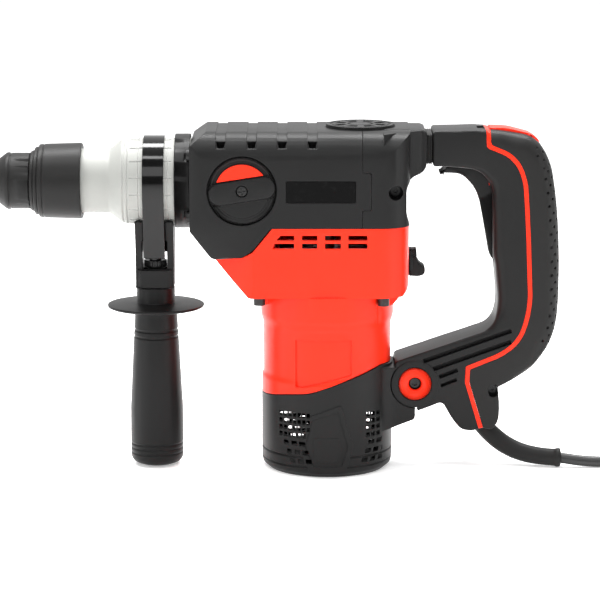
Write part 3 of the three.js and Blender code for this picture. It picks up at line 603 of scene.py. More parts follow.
for quarter in range(4):
    turn = Matrix.Rotation(math.pi / 2 * quarter + math.pi / 4, 4, "Z")
    lean = Matrix.Translation((18.9, 0, 55)) @ Matrix.Rotation(math.radians(-2.1), 4, "Y")
    pad = slab([(-5.2, -32, 5), (5.2, -32, 5), (5.2, 32, 5), (-5.2, 32, 5)], -1.2, 1.2, "YZ")
    panels.append(moved(pad, turn @ lean))
grip = cut(grip, joined(*panels))
piece("side_grip_body", moved(grip, Matrix.Translation(SIDE)), "side_grip", grip_black, ["side_grip"], 0.25)

# %% [markdown]
# ## Gear cover
# The black cover holds the gears and the striking mechanism. Its side outline and its end view are both simple,
# so the two are crossed and only their common part is kept. Towards the front and the slanted lower edge each
# side slopes inwards, so a loft joins the full outline to a smaller one that lies 3 mm further out.

# %% Gear cover body
def gearbox_view(half, top, corner, low, high):
    return slab([(-half, 140), (half, 140), (half, top, corner), (-half, top, corner)], low, high, "YZ", 10)


def soften(shape, test, reach, bands=4):
    chosen = [edge for edge in shape.edges if all(test(vert.co) for vert in edge.verts)]
    return rounded(shape, chosen, reach, bands)


def rounded(shape, edges, reach, bands=4):
    bmesh.ops.bevel(shape, geom=edges, offset=reach, offset_type="OFFSET", segments=bands, profile=0.5, affect="EDGES",
                    material=-1)
    return shape


SPIGOT = [(23.5, 187.7, 1), (29.5, 187.7, 2), (29.5, 213.3, 2), (23.5, 213.3, 1)]
SEAM = [(-59, 155, 1), (-51.7, 159.6, 3), (-39.1, 175.3, 2), (23.5, 175.3), *SPIGOT, (23.5, 250)]
rim_side = [(-94.4, 172.7, 1), (-79.2, 153.2, 3), *SEAM, (-70.6, 250), (-94.4, 231.2)]
face_side = [(-86.2, 177.5, 9), (-69.6, 155.2, 1), *SEAM, (-70.6, 250), (-86.2, 237.7)]
sides = [lofted(rim_side, side * 41.6, face_side, side * 44.5) for side in (-1, 1)]
cover = common(fused(slab(rim_side, -41.6, 41.6), *sides), gearbox_view(44.5, 239.9, 18, -100, 30),
               slab([(-94.4, 140), (30, 140), (30, 241), (-82, 241, 3), (-94.4, 231.2, 1)], -60, 60))
print("cover faces:", len(cover.faces))

# %% [markdown]
# ## Pockets of the gear cover
# Four flat bands cross the roof and end in small dark slots, the selector sits in a round seat, the plate in a
# long one, and four counterbores take the barrel's screws. The bands are cut with a copy of the roof that is
# 0.7 mm smaller, so their floor follows the round corner. Last, the inside is hollowed for the gears.

# %% Pockets
BANDS = [(-76.4, -69.6), (-55.2, -48.6), (-34.6, -27.8), (-14.0, -7.2)]
for left, right in BANDS:
    shell = cut(slab([(-60, 229.6), (60, 229.6), (60, 260), (-60, 260)], left, right, "YZ"),
                gearbox_view(43.8, 239.1, 17.6, -100, 30))
    slots = [slab([(left + 1.2, 229.8), (right - 1.2, 229.8), (right - 0.2, 234), (left + 0.2, 234)], *span)
             for span in ((-50, -31), (31, 50))]
    cover = cut(cover, shell, joined(*slots))
KNOB_X, KNOB_Z = -58.6, 201
seats = [disc("Y", -50, -40.8, 23.9, (KNOB_X, 0, KNOB_Z), 96), block((-28.6, -50, 192.7), (19.1, -43.7, 207.8)),
         disc("Z", 239.2, 245, 24.1, (22.8, 0, 0), 96), disc("X", -100, -80, 25.4, TOOL, 96)]
cover = cut(cover, *seats, joined(*[disc("X", -100, -91, 4.6, (0, y, z), 32) for y, z in SCREWS]))
arrow = slab([(-82.6, 198.6, 0.3), (-78.8, 200.8, 0.3), (-82.6, 203, 0.3)], -50, -44.1)
gear_room = fused(block((-84, -36, 177), (31, 36, 226)), block((-78, -21, 220), (31, 21, 233)))
cover = cut(cover, arrow, gear_room)
piece("gear_cover_shell", cover, "housing", shell_black, ["gear_cover"], 0, 28)

# %% [markdown]
# ## Rear housing and roof cap
# The rear housing closes the gear case and carries the short arm that the handle's bellows sits on. Its rear
# corners are very round, so the plan is crossed with the side outline, and a deep round pocket on each side takes
# a screw. The round cap on the roof covers the crank bearing, with rings and a few
# raised bars in its face.

# %% Rear housing
rear_side = [(23.8, 175.3), (56.4, 175.3), (55.9, 177.6, 1), (54.0, 182, 3), (53.7, 206, 16), (68, 211.5, 5),
             (68, 238.8, 2), (40, 250),
             (23.8, 250), (23.8, 213.6, 1), (29.8, 213.6, 2), (29.8, 187.4, 2), (23.8, 187.4, 1)]
arm = slab([(-20.5, 200, 3), (20.5, 200, 3), (20.5, 240.4, 4), (-20.5, 240.4, 4)], 30, 70, "YZ")
round_plan = slab([(20, -44.5), (56.6, -44.5, 24), (56.6, 44.5, 24), (20, 44.5)], 170, 250, "XY", 14)
wide = common(gearbox_view(44.5, 239.9, 18, 20, 56.8), round_plan)
flare = slab([(38, -42), (52, -26, 6), (66, -20.5, 3), (66, 20.5, 3), (52, 26, 6), (38, 42)], 200, 239.2, "XY")
rear = common(fused(wide, arm, flare), slab(rear_side, -50, 50, "XZ", 12))
crank_room = fused(block((20, -34, 178), (40, 34, 225)), block((20, -21, 178), (50, 21, 233)))
rear = cut(rear, crank_room)
rear = cut(rear, disc("Z", 239.2, 245, 24.1, (22.8, 0, 0), 96), disc("X", 48, 75, 8.5, (0, 0, 226), 48),
           *[disc("Y", *span, 5.0, (46.4, 0, 199.4), 48) for span in ((-50, -28.5), (28.5, 50))])
piece("rear_housing_shell", rear, "housing", shell_black, ["rear_housing"], 0, 28)
deep_screws = [cut(disc("Y", *span, 3.6, (46.4, 0, 199.4), 32), disc("Y", *socket, 1.7, (46.4, 0, 199.4), 6))
               for span, socket in (((-30.5, -28), (-32, -29.2)), ((28, 30.5), (29.2, 32)))]
piece("rear_housing_screws", joined(*deep_screws), "housing", screw_steel, (), 0.15)

cap = turned([(239.5, 0), (239.5, 23.8), (242, 23.8, 0.6), (242, 21.2), (241.4, 21.2), (241.4, 19.6), (242, 19.6),
              (242, 9),
              (241.3, 9), (241.3, 7.4), (242, 7.4), (242, 0)], "Z", (22.8, 0, 0), 96)
windows = []
for index in range(8):
    turn = Matrix.Translation((22.8, 0, 0)) @ Matrix.Rotation(math.pi / 4 * (index + 0.5), 4, "Z")
    windows.append(moved(slab([(11, -2.6, 1), (17.6, -4.4, 1), (17.6, 4.4, 1), (11, 2.6, 1)], 241.2, 243, "XY"), turn))
piece("roof_cap", cut(cap, joined(*windows)), "housing", shell_black, ["crank_cap"], 0.25)

plate = slab([(-28.3, 193, 1.2), (18.8, 193, 1.2), (18.8, 207.5, 1.2), (-28.3, 207.5, 1.2)], -44.6, -44.0)
piece("plain_plate", plate, "housing", plate_black, ["name_plate"], 0.15)

# %% [markdown]
# ## Mode selector
# The selector turns between drilling, chiselling and both. A round black dish carries a long bar for the fingers,
# a red half disc shows which way it points, and one screw holds it. The bar is a slab with fully round ends, and
# the whole knob leans with the bar's resting angle.

# %% Selector
lean = Matrix.Translation((KNOB_X, 0, KNOB_Z)) @ Matrix.Rotation(math.radians(-8.7), 4, "Y")
dish = turned([(-41.1, 0), (-41.1, 23.2), (-43.5, 23.2, 0.9), (-43.5, 20.6, 0.5), (-42.9, 20.2), (-42.9, 18.9),
               (-43.4, 18.6), (-43.4, 0)],
              "Y", (0, 0, 0), 96)
bar = slab([(-23, -7.9, 7.5), (23, -7.9, 7.5), (23, 7.9, 7.5), (-23, 7.9, 7.5)], -46, -42.8, "XZ", 12)
soften(bar, lambda co: co.y < -45.9, 1.2)
knob = fused(dish, bar, disc("Y", -41.5, -34, 6))
knob = cut(knob, disc("Y", -50, -43.2, 4.1, (0, 0, 0), 48))
piece("selector_dish", moved(knob, lean), "selector", shell_black, ["selector_knob"], 0.35)
half_disc = common(disc("Y", -44.9, -43.35, 18.2, (0, 0, 0), 96), block((-30, -50, 8.4), (30, -40, 30)))
piece("selector_pointer", moved(half_disc, lean), "selector", motor_red, ["selector_insert"], 0.3)
head = cut(turned([(-42.5, 0), (-45.2, 0), (-45.2, 3.3, 0.6), (-44.6, 3.8), (-42.5, 3.8)], "Y", (0, 0, 0), 48),
           block((-2.6, -46, -0.5), (2.6, -44.3, 0.5)), block((-0.5, -46, -2.6), (0.5, -44.3, 2.6)))
piece("selector_bolt", moved(head, lean), "selector", screw_steel, ["selector_screw"], 0.15)

# %% [markdown]
# ## Motor housing
# The red housing is a round motor barrel below a wide block that carries the gear case. Both are solids made from
# outlines, and everything above the slanted parting line is kept. A faint bulge rings the barrel at two heights,
# and a sunken panel with soft sides faces the user.

# %% Motor housing body
PARTING = [(-60, 54), (-45, 54, 3), (-28.6, 58, 5), (-12.5, 60, 4), (38, 77.3, 3), (46, 75), (60, 75)]
ROUND_PLAN = [(-90, -44.5, 1), (-52, -44.5, 6), (56.3, -44.5, 24), (56.3, 44.5, 24), (-52, 44.5, 6), (-90, 44.5, 1)]
upper_side = [(-38, 175), (-51.2, 158.8), (-59, 154.4), (-79, 152.8, 1.5), (-54.2, 126.5, 1), (51.8, 126.5, 1),
              (56.2, 131.6, 4), (56.2, 175)]
upper_block = common(slab(upper_side, -50, 50), slab(ROUND_PLAN, 100, 180, "XY", 14))
nose_plan = [(-95, -10), (-58, -44.5, 14), (60, -60), (60, 60), (-58, 44.5, 14), (-95, 10)]
upper_block = common(upper_block, slab(nose_plan, 90, 190, "XY", 10))
gusset = slab([(-60, 132.8), (-46.6, 118.6, 2), (44.8, 117.6, 2), (56, 131.4)], -22, 22)
barrel_red = turned([(40, 0), (40, 45.7), (65.5, 45.7, 1), (68.5, 44.6, 1.5), (103.5, 44.6, 2), (108.5, 46.4, 2),
                     (127, 46.4), (127, 0)],
                    "Z", (0, 0, 0), 128)
above = slab([*PARTING, (60, 190), (-90, 190), (-90, 54)], -60, 60)
red = common(fused(upper_block, gusset, barrel_red), above)

# %% [markdown]
# ## Vents, bolt pockets and the motor well
# Warm air leaves through two rows of slots on each side. The first slot of each row has a slanted end that follows
# the housing's shoulder. The inside is hollow, so the vents show dark with a glint of the parts behind them.

# %% Openings of the motor housing
well = fused(disc("Z", 30, 168, 41, (0, 0, 0), 96), block((-36, -40, 134), (40, 40, 171.5)))
vents = []
for low, high, start, slant in ((166.9, 170.4, -35.4, 3.2), (161.1, 164.9, -37.8, 1.2)):
    for left, right in ((start, -23), (-17.6, -7.2), (-1.9, 8.9), (14, 27)):
        lean_end = slant if left == start else 0
        shape = [(left, low, 0.5), (right, low, 0.5), (right, high, 0.5), (left + lean_end, high, 0.5)]
        vents += [slab(shape, -50, -38), slab(shape, 38, 50)]
BOLTS = [(-47, -30), (-47, 30), (38.6, -32), (38.6, 32)]
pockets = [disc("Z", 100, 127.6, 5.0, (x, y, 0), 32) for x, y in BOLTS]
label = [(-22, 97, 1), (16.5, 97, 1), (16.5, 72.5, 1), (-17.5, 63.5, 1), (-22, 63.5, 1)]
panels = [cut(slab(label, *span), disc("Z", 50, 110, 43.8, (0, 0, 0), 128)) for span in ((-50, -30), (30, 50))]
red = cut(red, well, joined(*vents), joined(*pockets), joined(*panels), disc("X", 50, 60, 4.4, (0, 0, 145.5), 48),
          disc("Z", 160, 180, 13.3, (0, 0, 0), 48))
piece("motor_housing_shell", red, "housing", motor_red, ["motor_housing"], 0, 28)
for number, (x, y) in enumerate(BOLTS, 1):
    bolt = turned([(119.5, 0), (119.5, 4.0, 0.5), (126, 4.0), (126, 2.2), (160, 2.2), (160, 0)], "Z", (x, y, 0), 32)
    piece(f"motor_screw_{number}", cut(bolt, disc("Z", 118, 121.6, 2.1, (x, y, 0), 6)), "housing", screw_steel,
          [f"motor_bolt_{number}"], 0.15)

# %% [markdown]
# ## Rear knob
# A small knob on the housing's back sets the speed. It is a low disc with a block above and a rounded thumb lever
# below, each a slab with softened rims.

# %% Rear knob
dial = turned([(56.6, 0), (56.6, 9.6, 0.5), (59.2, 9.2, 0.6), (59.2, 0)], "X", (0, 0, 145.5), 64)
upper = soften(slab([(57, 147, 1), (57, 154.8, 1), (62.2, 154.8, 1), (62.6, 149, 1)], -5, 5),
               lambda co: abs(co.y) > 4.9, 0.8)
lever = soften(slab([(57, 136, 1), (64, 135.4, 2), (68.2, 137.2, 2), (68.2, 142.5, 2), (64.8, 144.2, 1.5),
                     (61.6, 149.8, 1), (57, 150)],
                    -7.5, 7.5), lambda co: abs(co.y) > 7.4, 1.0)
piece("rear_knob_dial", joined(dial, upper, lever, disc("X", 51, 57, 4, (0, 0, 145.5), 32)), "rear_knob", shell_black,
      ["rear_knob"], 0.3)

# %% [markdown]
# ## End cap
# Cooling air enters through the black cap at the bottom. Its lower edge has three shallow rings, the front shows a
# raised facet between two fields of small square holes, and a lug at the back holds the handle's pivot. The holes
# come in rows, so two loops place all the cutters.

# %% End cap body
bowl = turned([(0, 0), (0, 41), (3.4, 45.0, 1), (6.6, 45.7, 0.5), (7.0, 45.0), (7.7, 45.0), (8.1, 45.8, 0.4),
               (13.6, 45.8, 0.4),
               (14.0, 45.0), (14.7, 45.0), (15.1, 45.8, 0.4), (100, 45.8), (100, 41.6), (6, 41.6), (6, 16), (24, 16),
               (24, 11.3),
               (13, 11.3), (13, 0)], "Z", (0, 0, 0), 128)
below = slab([(-60, -1), (-60, 53.6), (-45, 53.6, 3), (-28.6, 57.6, 5), (-12.5, 59.6, 4), (38, 76.9, 3), (46, 74.6),
              (66, 74.6), (66, -1)],
             -60, 60)
PIVOT = (61.3, 0, 61.5)
lug_side = slab([(30, 27, 1), (44.7, 30, 2), (61.6, 36.4, 2), (61.6, 71.5, 1), (30, 75)], -30, 30)
lug_plan = slab([(30, -30), (35.5, -27.2, 2), (46, -19.6, 3), (61.6, -19.2, 1), (61.6, 19.2, 1), (46, 19.6, 3),
                 (35.5, 27.2, 2), (30, 30)],
                20, 80, "XY")
lug = cut(common(lug_side, lug_plan), disc("Y", -30, 30, 17.2, PIVOT, 96), block((58.3, -30, 50), (70, 30, 80)))
tongue = fused(disc("Y", -7.8, 7.8, 11, PIVOT, 64), block((43, -7.8, 52), (61.3, 7.8, 69)))
lugs = cut(fused(lug, tongue), disc("Z", 6, 120, 41.6, (0, 0, 0), 96))
cap_body = fused(common(bowl, below), lugs)

# %% [markdown]
# ## Shield on the end cap
# The front and back of the cap carry a raised six-sided shield with a sunken middle and a small plate inside it.
# Each level follows the round wall, so it is an outline crossed with a ring of the right radius.

# %% Shield
def on_wall(outline, inner, outer):
    ring = turned([(-2, inner), (-2, outer), (90, outer), (90, inner)], "Z", (0, 0, 0), 128)
    return common(ring, joined(slab(outline, -60, -20), slab(outline, 20, 60)))


rim_of_shield = [(-13.9, 43.3, 1), (9.3, 51.9, 2), (18.1, 22, 2), (12.5, 3.6, 1), (-12.3, 3.6, 1), (-19.5, 22, 2)]
sunk = [(-10.8, 41.3, 1), (7.4, 47.4, 1), (14.4, 22, 2), (9.9, 8.2, 1), (-9.6, 8.2, 1), (-15.8, 22, 2)]
plate_in_shield = [(-8.6, 11.5, 1), (7.4, 11.5, 1), (9.8, 19.5, 1), (7.6, 28.5, 1), (-9.6, 28.5, 1)]
cap_body = fused(cap_body, on_wall(rim_of_shield, 44.4, 46.5))
cap_body = cut(cap_body, on_wall(sunk, 45.7, 48))
cap_body = fused(cap_body, on_wall(plate_in_shield, 44.4, 46.05))

# %% [markdown]
# ## Air holes
# Four rows of narrow holes with three rows of wider, slanting ones below them sit on each side of the shield.
# Loops set them out, and one cut makes them all.

# %% Air holes of the end cap
holes = []
for row, count in enumerate((7, 7, 7, 6)):
    holes += [(-33.2 + 3.15 * column, 42.6 - 4.85 * row, 2.2, 3.1, 0) for column in range(count)]
    holes += [(27.0 + 3.55 * column, 42.2 - 4.85 * row, 2.4, 3.1, 0) for column in range(3)]
for row in range(3):
    holes += [(-29.8 + 2.3 * row + 5.25 * column, 22.3 - 6.1 * row, 3.2 + 0.5 * column, 3.2,
               -0.5) for column in range(3)]
    holes += [(28.2 - 2.3 * row + 5.7 * column, 22.3 - 6.1 * row, 4.0 - 0.4 * column, 3.2, 0.5) for column in range(3)]
cutters = []
for x, z, wide, tall, slant in holes:
    shape = [(x, z), (x + wide, z), (x + wide + slant, z + tall), (x + slant, z + tall)]
    cutters += [slab(shape, -50, -25), slab(shape, 25, 50)]
cap_body = cut(cap_body, joined(*cutters), disc("Y", -30, 30, 4.8, PIVOT, 48))
print("air holes:", len(cutters))
piece("end_cap_shell", cap_body, "housing", shell_black, ["end_cap"], 0, 28)

# %% [markdown]
# ## Rear handle: one rolled body
# The handle is a D-shaped moulding whose corners change along its length: crisp on the arms, soft towards the
# fingers and very round at the back. A slab of the side outline is made first. Then its rim is rolled over
# by a radius taken from the nearest of a few posts, ring by ring, and narrowed wherever a ring would fold.

# %% Handle body
HANDLE = [(72.4, 214.4, 2.4), (72.4, 238.8, 2.4), (112, 239.8, 12), (143.3, 234.6, 9), (154.5, 217.5, 9),
          (158.5, 192, 12), (161.4, 160, 16),
          (161.4, 117.5, 14), (159.9, 101.4, 8), (152.7, 82.4, 9), (139.3, 68.7, 8), (119.4, 58.7, 1), (120.7, 45, 4),
          (120.1, 35, 3),
          (115.5, 28.3, 2.4), (108.9, 30, 1.5), (101.6, 27.6, 1.5), (93.8, 28.5, 3), (87.5, 36, 4), (80.5, 48.4, 3),
          (63, 42, 2), (62.6, 45, 0.5),
          (51.5, 48, 8), (44.9, 61.5, 5), (47.6, 77.3, 1.6), (115.6, 100.7, 8), (119.1, 117.5, 8), (116.3, 145.5),
          (114.8, 151.7),
          (113.5, 201.5, 10), (104, 212, 6), (82.7, 214.4, 2)]
ROLL = [(72, 238.8, 1.2), (100, 239.4, 1.4), (107, 239.6, 3), (113, 239.6, 9), (130, 237, 11), (143, 234, 11),
        (154, 217, 11), (161, 160, 11),
        (161, 117, 11), (153, 82, 10), (139, 68.7, 7), (122, 60, 3), (120, 45, 2.5), (115, 28.3, 1.4), (102, 27.6, 2),
        (87.5, 36, 2.5), (80, 48, 2),
        (63, 42, 0.6), (66, 43, 0.8), (62.6, 45, 0.6), (45, 61.5, 1.2), (50.4, 78.3, 1.2), (80, 88, 1.2),
        (105, 97, 2), (116, 103, 4), (119, 117.5, 7.5), (117, 140, 7.5),
        (114, 170, 7.5), (113.5, 198, 7), (108, 209, 4.5), (100, 212.5, 3), (82.7, 214.4, 1.5), (72.4, 214.4, 1.2)]
WIDEST = 11.0
SHORTEST = 0.15


def roll_at(place):
    pull = [(1 / (0.5 + math.hypot(place.x - x, place.z - z)) ** 3, width) for x, z, width in ROLL]
    return sum(force * width for force, width in pull) / sum(force for force, _ in pull)


def rolled(outline, half, steps=7):
    sheet = flat(outline, "XZ", 0, 8)
    corners = [Vector((corner.vert.co.x, corner.vert.co.z)) for face in sheet.faces for corner in face.loops]
    sheet.free()
    rim = []
    for a, b in zip(corners, corners[1:] + corners[:1]):
        count = max(1, round((b - a).length / 5))
        rim += [a.lerp(b, i / count) for i in range(count)] if (b - a).length > 0.02 else []
    total = len(rim)
    ahead = [rim[(i + 1) % total] - rim[i] for i in range(total)]
    area = sum(a.x * b.y - b.x * a.y for a, b in zip(rim, rim[1:] + rim[:1]))
    turn = 1 if area > 0 else -1
    inward = []
    for i in range(total):
        run = ahead[i - 1].normalized() + ahead[i].normalized()
        inward.append(Vector((-run.y, run.x)).normalized() * turn)
    reach = [roll_at(Vector((spot.x, 0, spot.y))) for spot in rim]
    for _ in range(600):
        inner = [spot + way * width for spot, way, width in zip(rim, inward, reach)]
        tight = {i for i in range(total)
                 if (inner[(i + 1) % total] - inner[i]).dot(ahead[i]) < SHORTEST * ahead[i].length_squared}
        if not tight:
            break
        narrow = tight | {(i + 1) % total for i in tight}
        reach = [width * 0.94 if i in narrow else width for i, width in enumerate(reach)]
        reach = [min(width, 0.3 * reach[i - 1] + 0.4 * width + 0.3 * reach[(i + 1) % total]) if i in narrow else width
                 for i, width in enumerate(reach)]
    shape, rings = bmesh.new(), []
    for side, step in [(-1, i) for i in range(steps + 1)] + [(1, i) for i in range(steps, -1, -1)]:
        angle = math.pi / 2 * step / steps
        inset, rise = 1 - math.sin(angle), 1 - math.cos(angle)
        ring = []
        for spot, way, width in zip(rim, inward, reach):
            place = (spot.x + way.x * width * inset, side * (half - width * rise), spot.y + way.y * width * inset)
            ring.append(shape.verts.new(place))
        rings.append(ring)
    for lower, upper in zip(rings, rings[1:]):
        for i in range(total):
            j = (i + 1) % total
            shape.faces.new((lower[i], lower[j], upper[j], upper[i]))
    shape.faces.new(rings[0][::-1])
    shape.faces.new(rings[-1])
    bmesh.ops.recalc_face_normals(shape, faces=shape.faces)
    return shape


handle = rolled(HANDLE, 19.5)
print("handle faces:", len(handle.faces))

# %% [markdown]
# ## Parting of the handle
# A red line divides the hard inner shells from the rubber back of the grip. Its middle line is one open path, and
# moving that path sideways gives both its borders. The same borders cut the shells and the rubber, with a hair of
# a gap so that each part shows its own edge.

# %% Red line
TRIM = [(110.3, 250), (110.9, 228.4, 2), (128, 221.6, 8), (136.2, 207, 9), (138.6, 175, 12), (141.2, 115, 14),
        (134.2, 92.7, 9), (122, 82.6, 6),
        (98.1, 72.9, 1), (97.7, 62.4, 1), (110.6, 20)]


def beside(path, distance):
    moved_path = []
    for i, (x, z, *corner) in enumerate(path):
        here = Vector((x, z))
        runs = [(Vector(path[j + 1][:2]) - Vector(path[j][:2])).normalized()
                for j in (i - 1, i) if 0 <= j < len(path) - 1]
        across = sum((Vector((-run.y, run.x)) for run in runs), Vector((0, 0))).normalized()
        reach = distance / across.dot(Vector((-runs[0].y, runs[0].x)))
        moved_path.append((*(here + across * reach), *corner))
    return moved_path


OUTSIDE = [(200, 10), (200, 260)]
strip = slab(beside(TRIM, -1.5) + beside(TRIM, 1.5)[::-1], -30, 30, "XZ", 6)
gap = slab(beside(TRIM, -1.62) + beside(TRIM, 1.62)[::-1], -30, 30, "XZ", 6)
outer_side = slab(beside(TRIM, 0) + OUTSIDE, -30, 30, "XZ", 6)
trim = common(handle.copy(), strip)
skin = common(cut(handle.copy(), gap.copy()), outer_side.copy())
shells = cut(handle, gap, outer_side)
print("trim, skin, shells faces:", len(trim.faces), len(skin.faces), len(shells.faces))
piece("handle_red_line", trim, "rear_handle", motor_red, ["handle_trim_left", "handle_trim_right"], 0, 32)

# %% [markdown]
# ## Rubber back of the grip
# Small dimples in staggered columns keep the palm from sliding. They are little spheres cut from the rubber,
# set out along the back by walking its outline at an even pace, half on the round corner and half on the back.

# %% Dimples
BACK = [(147, 229), (154.5, 216), (158.3, 192), (161.1, 160), (161.4, 117.5), (159.9, 103), (154, 86)]


def walk(path, pace):
    spots, left = [], 0.0
    for a, b in zip(path, path[1:]):
        a, b = Vector(a), Vector(b)
        run, length = (b - a).normalized(), (b - a).length
        while left < length:
            spots.append((a + run * left, Vector((run.y, -run.x))))
            left += pace
        left -= length
    return spots


balls = []
for index, (spot, inward) in enumerate(walk(BACK, 4.9)):
    inward = inward if inward.x < 0 else -inward
    for tilt in ((30, 62) if index % 2 else (46, 0)):
        for side in ((-1, 1) if tilt else (0,)):
            angle = math.radians(tilt)
            centre = spot + inward * (WIDEST - WIDEST * math.cos(angle))
            ball = bmesh.new()
            bmesh.ops.create_icosphere(ball, subdivisions=1, radius=1.35)
            place = (centre.x, side * (8.5 + WIDEST * math.sin(angle)), centre.y)
            balls.append(moved(ball, Matrix.Translation(place)))
print("dimples:", len(balls))
wide_screw = slab([(112.6, 52.0, 3), (119.5, 52.0, 3), (119.5, 60.8, 3), (112.6, 60.8, 3)], -25, -10)
skin = cut(skin, joined(*balls), wide_screw)
piece("grip_rubber", skin, "rear_handle", rubber_black, ["rear_grip"], 0, 32)

# %% [markdown]
# ## Hard shells of the handle
# Two shells meet on the middle plane. The lower arm has four slanting slots beside a round boss for the pivot, and
# the trigger's pocket is cut from the front.

# %% Handle shells
def bar_between(a, b, width, low, high):
    a, b = Vector(a), Vector(b)
    run = (b - a).normalized() * width / 2
    across = Vector((-run.y, run.x))
    points = [a - run + across, a - run - across, b + run - across, b + run + across]
    return slab([(*p, width * 0.25) for p in points], low, high)


SLOTS = [((68.5, 78.2), (126.5, 98.8), 3.3), ((75.5, 72.6), (126.5, 91.0), 3.3), ((79.5, 67.0), (89.5, 70.9), 3.0),
         ((80.5, 60.6), (89.3, 64.2), 2.4)]
boss = turned([(-20.1, 0), (-20.1, 16.9, 0.9), (20.1, 16.9, 0.9), (20.1, 0)], "Y", PIVOT, 96)
POCKET = [(77, 207), (76, 218.5), (106, 218.5, 3), (129.6, 207, 4), (129.6, 145), (111, 144.6), (108, 190), (90, 207)]
shells = fused(shells, boss)
slots = [bar_between(a, b, width, *span) for a, b, width in SLOTS for span in ((-25, -14.5), (14.5, 25))]
rings = [disc("Y", *span, 11.8, PIVOT, 96) for span in ((-25, -17.4), (17.4, 25))]
thumb = slab([(103.5, -5.5, 1), (108.6, -9, 1), (108.6, 9, 1), (103.5, 5.5, 1)], 238.2, 245, "XY")
shells = cut(shells, joined(*slots), slab(POCKET, -8.6, 8.6), joined(*rings), disc("Y", -30, 30, 4.6, PIVOT, 48), thumb,
             disc("X", 68, 92, 9, (0, 0, 226), 48), fused(block((40, -8.3, 40), (76, 8.3, 75.5)),
                                                          block((40, -8.3, 40), (60, 8.3, 75))))
piece("handle_shells", shells, "rear_handle", shell_black, ["handle_left", "handle_right"], 0, 32)

# %% [markdown]
# ## Red crest, bellows, pivot and trigger
# A red panel lies on the crest of the handle. Rubber bellows join the upper arm to the housing, and the pivot shows
# as a red ring round a sunken screw. The trigger is a long curved lever with soft rims.

# %% Crest and bellows
crest_side = [(111.9, 200), (111.9, 240.0), (112.5, 240.15, 0.3), (124, 240.0, 4), (143.6, 235.0, 8), (150.5, 224.6),
              (140, 200)]
crest_plan = [(111.9, -9.2, 0.6), (111.9, 9.2, 0.6), (138, 8.0, 3), (146.8, 4.4, 3), (146.8, -4.4, 3), (138, -8.0, 3)]
crest = common(slab(crest_side, -20, 20, "XZ", 10), slab(crest_plan, 190, 260, "XY"))
piece("handle_crest", crest, "rear_handle", motor_red, (), 0.35, 40)

folds = []
for index in range(3):
    left = 68.35 + 1.27 * index
    folds.append(soften(slab([(-17, 215.6, 3), (17, 215.6, 3), (17, 236.8, 3), (-17, 236.8, 3)], left, left + 1.15,
                             "YZ"),
                        lambda co: True, 0.35, 2))
throat = slab([(-15.6, 217, 3), (15.6, 217, 3), (15.6, 235.4, 3), (-15.6, 235.4, 3)], 68.4, 72.1, "YZ")
folded = cut(fused(throat, *folds), disc("X", 60, 80, 9, (0, 0, 226), 48))
bellows = piece("bellows_folds", folded, "housing", rubber_black, ["bellows"], 0)
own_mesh(bellows)

# %% Pivot rings
for side, name in ((-1, "left"), (1, "right")):
    red_ring = turned([(17.7, 4.2), (17.7, 11.3), (20.5, 11.3, 0.5), (20.5, 5.2, 0.3), (19.6, 4.6)], "Y", (0, 0, 0), 96)
    ring_place = Matrix.Translation(PIVOT) @ Matrix.Rotation(0 if side > 0 else math.pi, 4, "Z")
    piece(f"pivot_ring_{name}_red", moved(red_ring, ring_place), "rear_handle", motor_red, [f"pivot_ring_{name}"], 0.2)
pin = cut(turned([(-16.4, 0), (-16.4, 3.4), (-15.8, 3.9), (15.8, 3.9), (16.4, 3.4), (16.4, 0)], "Y", PIVOT, 48),
          disc("Y", -20, -15, 2.0, PIVOT, 6), disc("Y", 15, 20, 2.0, PIVOT, 6))
piece("pivot_screw", pin, "rear_handle", screw_steel, ["pivot_pin"], 0.1)
boss_screw = cut(disc("Y", -12, -9.6, 2.8, (116.0, 0, 56.4), 32), disc("Y", -13, -10.6, 1.4, (116.0, 0, 56.4), 6))
piece("boss_screw", boss_screw, "rear_handle", screw_steel, (), 0.15)

# %% Trigger
lever = slab([(78.5, 208.5, 0.5), (82.7, 212.3, 0.8), (104, 212.3, 3), (122, 203, 6), (121, 150, 2), (117, 145.8, 1),
              (112.9, 150.8, 2), (103.8, 197, 12),
              (92.7, 208, 4)], -7.8, 7.8, "XZ", 8)
soften(lever, lambda co: co.x < 112 and co.z < 209, 1.8)
piece("trigger_lever", lever, "trigger", grip_black, ["trigger"], 0.4, 24, 3)

# %% [markdown]
# ## Hidden parts
# The spindle, gears, motor and switch sit inside the shells and are seen only through vents and gaps. Their
# frame shapes are already right, so they keep them and only get real metal, copper and plastic.

# %% Finishes for the inner parts
INNER = {"copper": wound_copper, "steel": bright_steel, "cast_grey": barrel_grey, "black_steel": screw_steel,
         "rubber": rubber_black, "black_plastic": shell_black, "gloss_black": plate_black, "red_plastic": motor_red}
for name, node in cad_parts.items():
    for place in node.material_slots:
        kind = place.material.name.split(".")[0]
        place.material = INNER[kind] if kind in INNER else shell_black
print("inner finishes set on", len(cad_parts), "nodes")

# %% [markdown]
# ## Bench and light
# The bench is one pale sheet that reaches far past the tool. The room is bright behind the tool and dimmer in
# front, so black parts stay dark while their upper faces mirror the bright side. Narrow strips above and beside
# the tool draw the thin highlights on round glossy parts, and a large soft box in front fills the shadows.

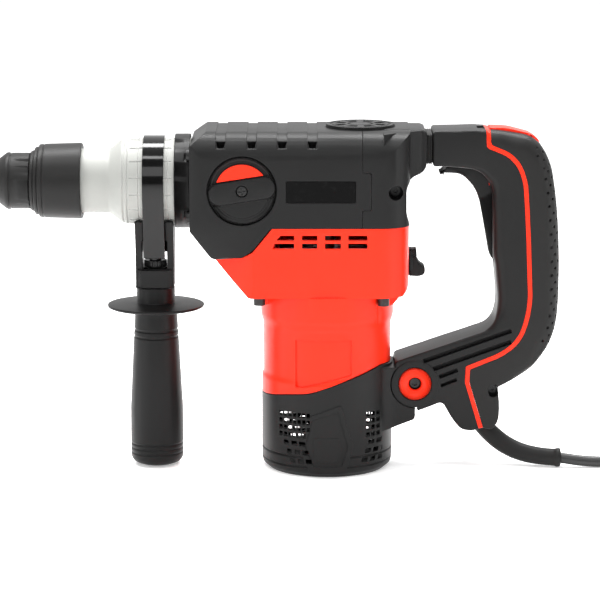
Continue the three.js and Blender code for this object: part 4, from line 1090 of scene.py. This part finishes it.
# %% Bench and light
bench = bmesh.new()
bmesh.ops.create_grid(bench, x_segments=1, y_segments=1, size=12)
floor_mesh = bpy.data.meshes.new("bench")
bench.to_mesh(floor_mesh)
bench.free()
floor = bpy.data.objects.new("bench", floor_mesh)
bpy.context.collection.objects.link(floor)
pale = Finish("bench_white", Roughness=0.9, Emission_Strength=0.38)
pale.feed("Base Color", pale.mix(pale.noise(3, 2), grey(0.90), grey(0.94)))
pale.feed("Emission Color", pale.mix(pale.noise(3, 2), grey(0.95), grey(1.0)))
floor_mesh.materials.append(pale.material)

sky = bpy.data.worlds.new("studio")
sky.use_nodes = True
tree = sky.node_tree
direction = tree.nodes.new("ShaderNodeTexCoord")
split = tree.nodes.new("ShaderNodeSeparateXYZ")
tree.links.new(direction.outputs["Generated"], split.inputs[0])
spread = tree.nodes.new("ShaderNodeMapRange")
for socket, value in (("From Min", -0.5), ("From Max", 0.35), ("To Min", 0.14), ("To Max", 1.15)):
    spread.inputs[socket].default_value = value
tree.links.new(split.outputs["Y"], spread.inputs["Value"])
tree.links.new(spread.outputs["Result"], tree.nodes["Background"].inputs["Strength"])
tree.nodes["Background"].inputs["Color"].default_value = (1, 1, 1, 1)
bpy.context.scene.world = sky
bpy.context.scene.view_settings.view_transform = "Standard"

LAMPS = {"overhead_strip": ((-0.1, -0.50, 1.40), 2.0, 0.16, 12), "back_strip": ((-0.1, 0.42, 1.45), 2.0, 0.3, 50),
         "front_box": ((-0.2, -2.5, 1.7), 2.2, 1.2, 24), "left_strip": ((-1.6, -1.0, 0.4), 0.25, 1.2, 8),
         "right_strip": ((1.6, -0.9, 0.5), 0.25, 1.2, 8)}
for name, (place, wide, tall, power) in LAMPS.items():
    light = bpy.data.lights.new(name, "AREA")
    light.shape, light.size, light.size_y, light.energy = "RECTANGLE", wide, tall, power
    lamp = bpy.data.objects.new(name, light)
    lamp.location = place
    lamp.rotation_euler = (Vector((0, 0, 0.12)) - Vector(place)).to_track_quat("-Z", "Y").to_euler()
    bpy.context.collection.objects.link(lamp)
print("lamps:", list(LAMPS))
